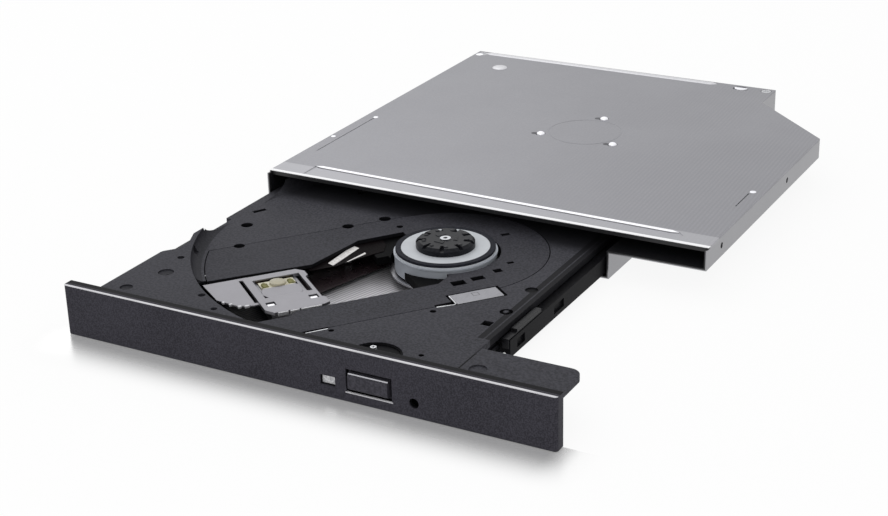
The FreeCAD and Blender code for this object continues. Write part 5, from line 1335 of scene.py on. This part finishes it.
@dataclass
class FeedDrive(Assembly):
    """The feed screw with its thread."""

    level: float = 4.7
    beside: float = -29.4
    ends: Pair = (-49.3, -9.2)
    crest: float = 1.1
    root: float = 0.82
    pitch: float = 3.0
    starts: int = 2
    flank: float = 3.2
    flank_start: float = 0.3
    journal: float = 3.1
    journal_radius: float = 0.8
    steps: int = 260
    sides: int = 18

    def make_thread(self) -> None:
        """Makes the screw: a two-start thread between two plain ends."""
        screw = Blank(sled_frame() @ Matrix.Translation((0.0, self.beside, self.level))
                      @ Matrix.Rotation(math.radians(90.0), 4, "Y"))
        start, end = self.ends
        rows = []
        for i in range(self.steps + 1):
            along = start + (end - start) * i / self.steps
            plain = min(along - start, end - along) < self.journal
            row = []
            for k in range(self.sides):
                turn = 2 * math.pi * k / self.sides
                phase = (along / self.pitch * self.starts - turn * self.starts / (2 * math.pi)) % 1.0
                tooth = max(0.0, min(1.0, self.flank * abs(phase - 0.5) - self.flank_start))
                radius = self.journal_radius if plain else self.root + (self.crest - self.root) * tooth
                row.append((radius * math.cos(turn), radius * math.sin(turn), along))
            rows.append(row)
        screw.surface(rows)
        piece = screw.make("lead_screw_thread", Body.FEED_SCREW, "bright_steel", "bright_steel")
        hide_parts("lead_screw")


@dataclass
class Spindle(Assembly):
    """The motor's windings under the turntable and the hub's small studs."""

    teeth: int = 9
    inner: float = 6.4
    outer: float = 9.4
    half_width: float = 0.9
    half_height: float = 1.08
    level: float = 5.6
    turns: int = 8
    wire: float = 0.18
    stud_circle: float = 5.5
    stud: Outline = ((0.62, 11.2), (0.62, 11.38), (0.5, 11.45))
    ledge: Outline = ((2.3, -0.5), (3.4, -0.4), (3.4, 0.4), (2.3, 0.5))
    ledge_levels: Pair = (11.2, 11.42)

    def make_windings(self) -> None:
        """Makes the copper wire wound round each tooth."""
        windings = Blank()
        for tooth in range(self.teeth):
            angle = 2 * math.pi * tooth / self.teeth
            cos, sin = math.cos(angle), math.sin(angle)
            path = []
            count = self.turns * 12
            for i in range(count + 1):
                turn = 2 * math.pi * i / 12
                out = self.inner + (self.outer - self.inner) * i / count
                beside, up = rounded_square(turn, 0.5)
                beside, up = beside * self.half_width, up * self.half_height
                path.append((SPINDLE[0] + out * cos - beside * sin, SPINDLE[1] + out * sin + beside * cos,
                             self.level + up))
            windings.wire(path, self.wire, 6)
        piece = windings.make("stator_windings", Body.TRAY, "coil_copper", "coil_copper")
        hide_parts("stator_coils")

    def make_hub_studs(self) -> None:
        """Makes nine small studs and three ledges on the hub's top."""
        studs = Blank()
        for i in range(9):
            angle = 2 * math.pi * (i + 0.5) / 9
            centre = (SPINDLE[0] + self.stud_circle * math.cos(angle),
                      SPINDLE[1] + self.stud_circle * math.sin(angle))
            studs.turned(centre, self.stud, 12)
        for i in range(3):
            angle = 2 * math.pi * (i + 0.2) / 3
            points = [(SPINDLE[0] + r * math.cos(angle + a), SPINDLE[1] + r * math.sin(angle + a))
                      for r, a in self.ledge]
            studs.plate(points, *self.ledge_levels)
        studs.make("hub_studs", Body.ROTOR, "hub_black", "hub_black", 0.05)


@dataclass
class Pickup(Assembly):
    """What shows on the pickup: its optics, its inner plate, folded tabs and focus coil."""

    inner_plate: Outline = ((-49.1, -3.0), (-48.2, -2.1), (-40.3, -2.1), (-39.5, -3.0), (-39.7, -6.8),
                            (-41.2, -8.6), (-47.9, -8.6), (-49.5, -5.6))
    inner_plate_levels: Pair = (7.4, 7.68)
    window_places: Pair = (-49.3, -38.7)
    block_half: float = 0.9
    block_across: Pair = (-12.7, -11.4)
    block_levels: Pair = (7.25, 7.75)
    lip_end: float = 0.2
    lip_across: Pair = (-12.9, -12.6)
    lip_levels: Pair = (7.25, 7.85)
    folded_tabs: Outline = ((-49.2, -46.6), (-46.2, -43.9), (-43.5, -38.4))
    tab_across: Pair = (-17.35, -16.85)
    tab_levels: Pair = (6.9, 7.95)
    teeth: tuple[tuple[float, float, float], ...] = (
        (-59.4, -58.7, -5.2), (-58.2, -57.3, -7.0), (-56.6, -55.7, -9.0), (-55.1, -53.9, -9.5))
    tooth_reach: Pair = (0.35, 0.25)
    tooth_levels: Pair = (7.0, 7.62)
    carrier: Outline = ((-48.4, 2.2), (-48.4, -0.6), (-47.6, -1.7), (-46.0, -1.9), (-41.8, -1.9),
                        (-40.2, -1.5), (-39.6, -0.5), (-39.6, 2.2))
    carrier_levels: Pair = (6.4, 7.4)
    lens_place: Pair = (-44.0, 0.0)
    lens_hole: float = 1.55
    clamp_starts: Pair = (-48.1, -41.5)
    clamp_width: float = 1.6
    clamp_across: Pair = (-1.2, 0.9)
    clamp_levels: Pair = (7.0, 7.62)
    clip_along: Pair = (0.3, 1.3)
    clip_across: Pair = (0.9, 1.5)
    clip_levels: Pair = (7.0, 7.55)
    coil_middle: Point = (-44.0, 0.1, 5.1)
    coil_half: Pair = (2.75, 2.3)
    coil_height: float = 1.2
    coil_turns: int = 6

    def make_inner_plate(self) -> None:
        """Makes the grey plate below the optics, with its two cut corners."""
        plate = Blank(sled_frame())
        plate.plate(self.inner_plate, *self.inner_plate_levels)
        plate.make("pickup_inner_plate", Body.PICKUP, "pickup_cover_metal", "pickup_cover_metal", 0.06)

    def make_blocks(self) -> None:
        """Makes the bright blocks under the two small windows."""
        blocks = Blank(sled_frame())
        for along in self.window_places:
            start, end = along - self.block_half, along + self.block_half
            blocks.block((start, end), self.block_across, self.block_levels)
            blocks.block((start, along - self.lip_end), self.lip_across, self.lip_levels)
        blocks.make("pickup_blocks", Body.PICKUP, "bead_steel", "pickup_cover_metal", 0.08)

    def make_tabs(self) -> None:
        """Makes the folded tabs along the cover's lower edge and the outer plate's toothed edge, in pale steel
        as a painted highlight on these edges.
        """
        tabs = Blank(sled_frame())
        for start, end in self.folded_tabs:
            tabs.block((start, end), self.tab_across, self.tab_levels)
        before, behind = self.tooth_reach
        for start, end, edge in self.teeth:
            tabs.block((start, end), (edge - before, edge + behind), self.tooth_levels)
        # The pale steel is a painted highlight on the folded and toothed edges
        tabs.make("pickup_tabs", Body.PICKUP, "pale_steel", "pickup_cover_metal", 0.08)

    def make_optics(self) -> None:
        """Makes the lens carrier: a cream bar with olive clamps at its ends."""
        bar = Blank(sled_frame())
        bar.plate(self.carrier, *self.carrier_levels, [circle(self.lens_place, self.lens_hole, 20)])
        carrier = bar.make("lens_carrier_bar", Body.LENS, "optics_cream", "holder_plastic", 0.15)
        clamps = Blank(sled_frame())
        clip_start, clip_end = self.clip_along
        for start in self.clamp_starts:
            clamps.block((start, start + self.clamp_width), self.clamp_across, self.clamp_levels)
            clamps.block((start + clip_start, start + clip_end), self.clip_across, self.clip_levels)
        clamps.make("lens_carrier_clamps", Body.LENS, "optics_olive", "holder_plastic", 0.12)
        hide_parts("lens_holder")

    def make_focus_coil(self) -> None:
        """Makes the fine wire wound round the lens carrier."""
        coil = Blank(sled_frame())
        path = []
        count = self.coil_turns * 16
        for i in range(count + 1):
            x, y = rounded_square(2 * math.pi * i / 16, 0.4)
            path.append((self.coil_middle[0] + x * self.coil_half[0],
                         self.coil_middle[1] + y * self.coil_half[1],
                         self.coil_middle[2] + self.coil_height * i / count))
        coil.wire(path, 0.1, 6)
        coil.make("focus_coil", Body.LENS, "coil_copper", "holder_plastic")


@dataclass
class Studio(Assembly):
    """The white floor, the soft light and the camera."""

    camera_place: Point = (197.5, -429.75, 178.3)
    camera_angles: Point = (29.378, 23.311, -1.502)
    lens: float = 70.31
    sensor: float = 36.0
    key_place: Point = (-260.0, 120.0, 420.0)
    key_power: float = 0.55
    key_size: float = 500.0
    fill_place: Point = (120.0, -520.0, 300.0)
    fill_power: float = 0.5
    fill_size: float = 400.0
    aim_y: float = -40.0
    sky: float = 0.8
    floor_size: float = 30.0
    floor_level: float = -0.2
    floor_glow: float = 0.24
    floor_glow_far: float = 0.9
    floor_gloss: float = 0.92
    floor_roughness: float = 0.25
    floor_near: Pair = (-164.0, -149.0)
    floor_sides: tuple[float, float, float, float] = (-74.0, -62.0, 62.0, 74.0)

    def make_camera(self) -> None:
        """Stands the camera by its turn, height and roll where the picture was taken from."""
        data = bpy.data.cameras.new("camera")
        camera = bpy.data.objects.new("camera", data)
        bpy.context.scene.collection.objects.link(camera)
        data.lens = self.lens
        data.sensor_width = self.sensor
        data.clip_start = 0.01
        data.clip_end = 20.0
        turn, height, roll = (math.radians(angle) for angle in self.camera_angles)
        aim = Matrix.Rotation(turn, 4, "Z") @ Matrix.Rotation(math.pi / 2 - height, 4, "X")
        camera.matrix_world = (Matrix.Translation(Vector(self.camera_place) * MM) @ aim
                               @ Matrix.Rotation(roll, 4, "Z"))
        bpy.context.scene.camera = camera
        bpy.context.scene.view_settings.view_transform = "Standard"

    def make_lamps(self) -> None:
        """Hangs one large soft lamp behind and to the left, and a weak one in front."""
        for name, place, power, size in (
            ("key", self.key_place, self.key_power, self.key_size),
            ("fill", self.fill_place, self.fill_power, self.fill_size),
        ):
            data = bpy.data.lights.new(name, "AREA")
            data.energy = power
            data.size = size * MM
            lamp = bpy.data.objects.new(name, data)
            bpy.context.scene.collection.objects.link(lamp)
            lamp.location = Vector(place) * MM
            aim = Vector((0.0, self.aim_y * MM, 0.0)) - lamp.location
            lamp.rotation_euler = aim.to_track_quat("-Z", "Y").to_euler()

    def seen_share(self, graph: Graph) -> Value:
        """Gives 1 for what the camera, a gloss or a glass shows, and 0 for the light on the object."""
        ray = graph.node("ShaderNodeLightPath")
        seen = Value(graph, ray.outputs["Is Camera Ray"]) + Value(graph, ray.outputs["Is Glossy Ray"])
        return graph.maths("MINIMUM", seen + Value(graph, ray.outputs["Is Transmission Ray"]), 1.0)

    def make_world(self) -> None:
        """Makes an even white sky that the camera sees as plain white."""
        world = bpy.data.worlds.new("sky")
        world.use_nodes = True
        bpy.context.scene.world = world
        graph = Graph(world.node_tree)
        strength = self.sky + self.seen_share(graph) * (1.0 - self.sky)
        back = graph.value("ShaderNodeBackground", inputs={"Color": (1.0, 1.0, 1.0), "Strength": strength})
        graph.node("ShaderNodeOutputWorld", inputs={"Surface": back})

    def make_floor(self) -> None:
        """Lays a white floor that keeps the shadow, and a faint reflection in front of the bezel."""
        size = self.floor_size
        mesh = bpy.data.meshes.new("floor")
        corners = [(-size, -size, 0.0), (size, -size, 0.0), (size, size, 0.0), (-size, size, 0.0)]
        mesh.from_pydata(corners, [], [(0, 1, 2, 3)])
        floor = bpy.data.objects.new("floor", mesh)
        bpy.context.scene.collection.objects.link(floor)
        floor.location.z = self.floor_level * MM
        material = bpy.data.materials.new("floor_white")
        material.use_nodes = True
        graph = Graph(material.node_tree)
        x, y, _ = graph.axes()
        left_start, left_end, right_end, right_start = self.floor_sides
        near = y.ramp(*self.floor_near) * (y < BEZEL_BACK) * x.ramp(left_start, left_end)
        near = near * (1.0 - x.ramp(right_end, right_start))
        plain = (1.0, 1.0, 1.0)
        matte = graph.value("ShaderNodeBsdfDiffuse", inputs={"Color": (0.9, 0.9, 0.9)})
        gloss = graph.value("ShaderNodeBsdfGlossy",
                            inputs={"Color": plain, "Roughness": self.floor_roughness})
        white = graph.value("ShaderNodeEmission", inputs={"Color": plain, "Strength": 1.0})
        glow = self.floor_glow_far - near * (self.floor_glow_far - self.floor_glow)
        mixed = matte
        for share, shader in ((near * self.floor_gloss, gloss), (glow, white)):
            mixed = graph.value("ShaderNodeMixShader", inputs={0: share, 1: mixed, 2: shader})
        mixed = graph.value("ShaderNodeMixShader", inputs={0: self.seen_share(graph), 1: matte, 2: mixed})
        graph.node("ShaderNodeOutputMaterial", inputs={"Surface": mixed})
        mesh.materials.append(material)


def main() -> None:
    """Builds the drive's pieces in order."""
    logging.basicConfig(level=logging.INFO)
    shop = Workshop()
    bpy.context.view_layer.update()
    Studio().build()
    shop.dress_all()
    for assembly in (Lid(), Boards(), Tray(), FeedDrive(), Spindle(), Pickup()):
        assembly.build()


if __name__ == "__main__":
    main()
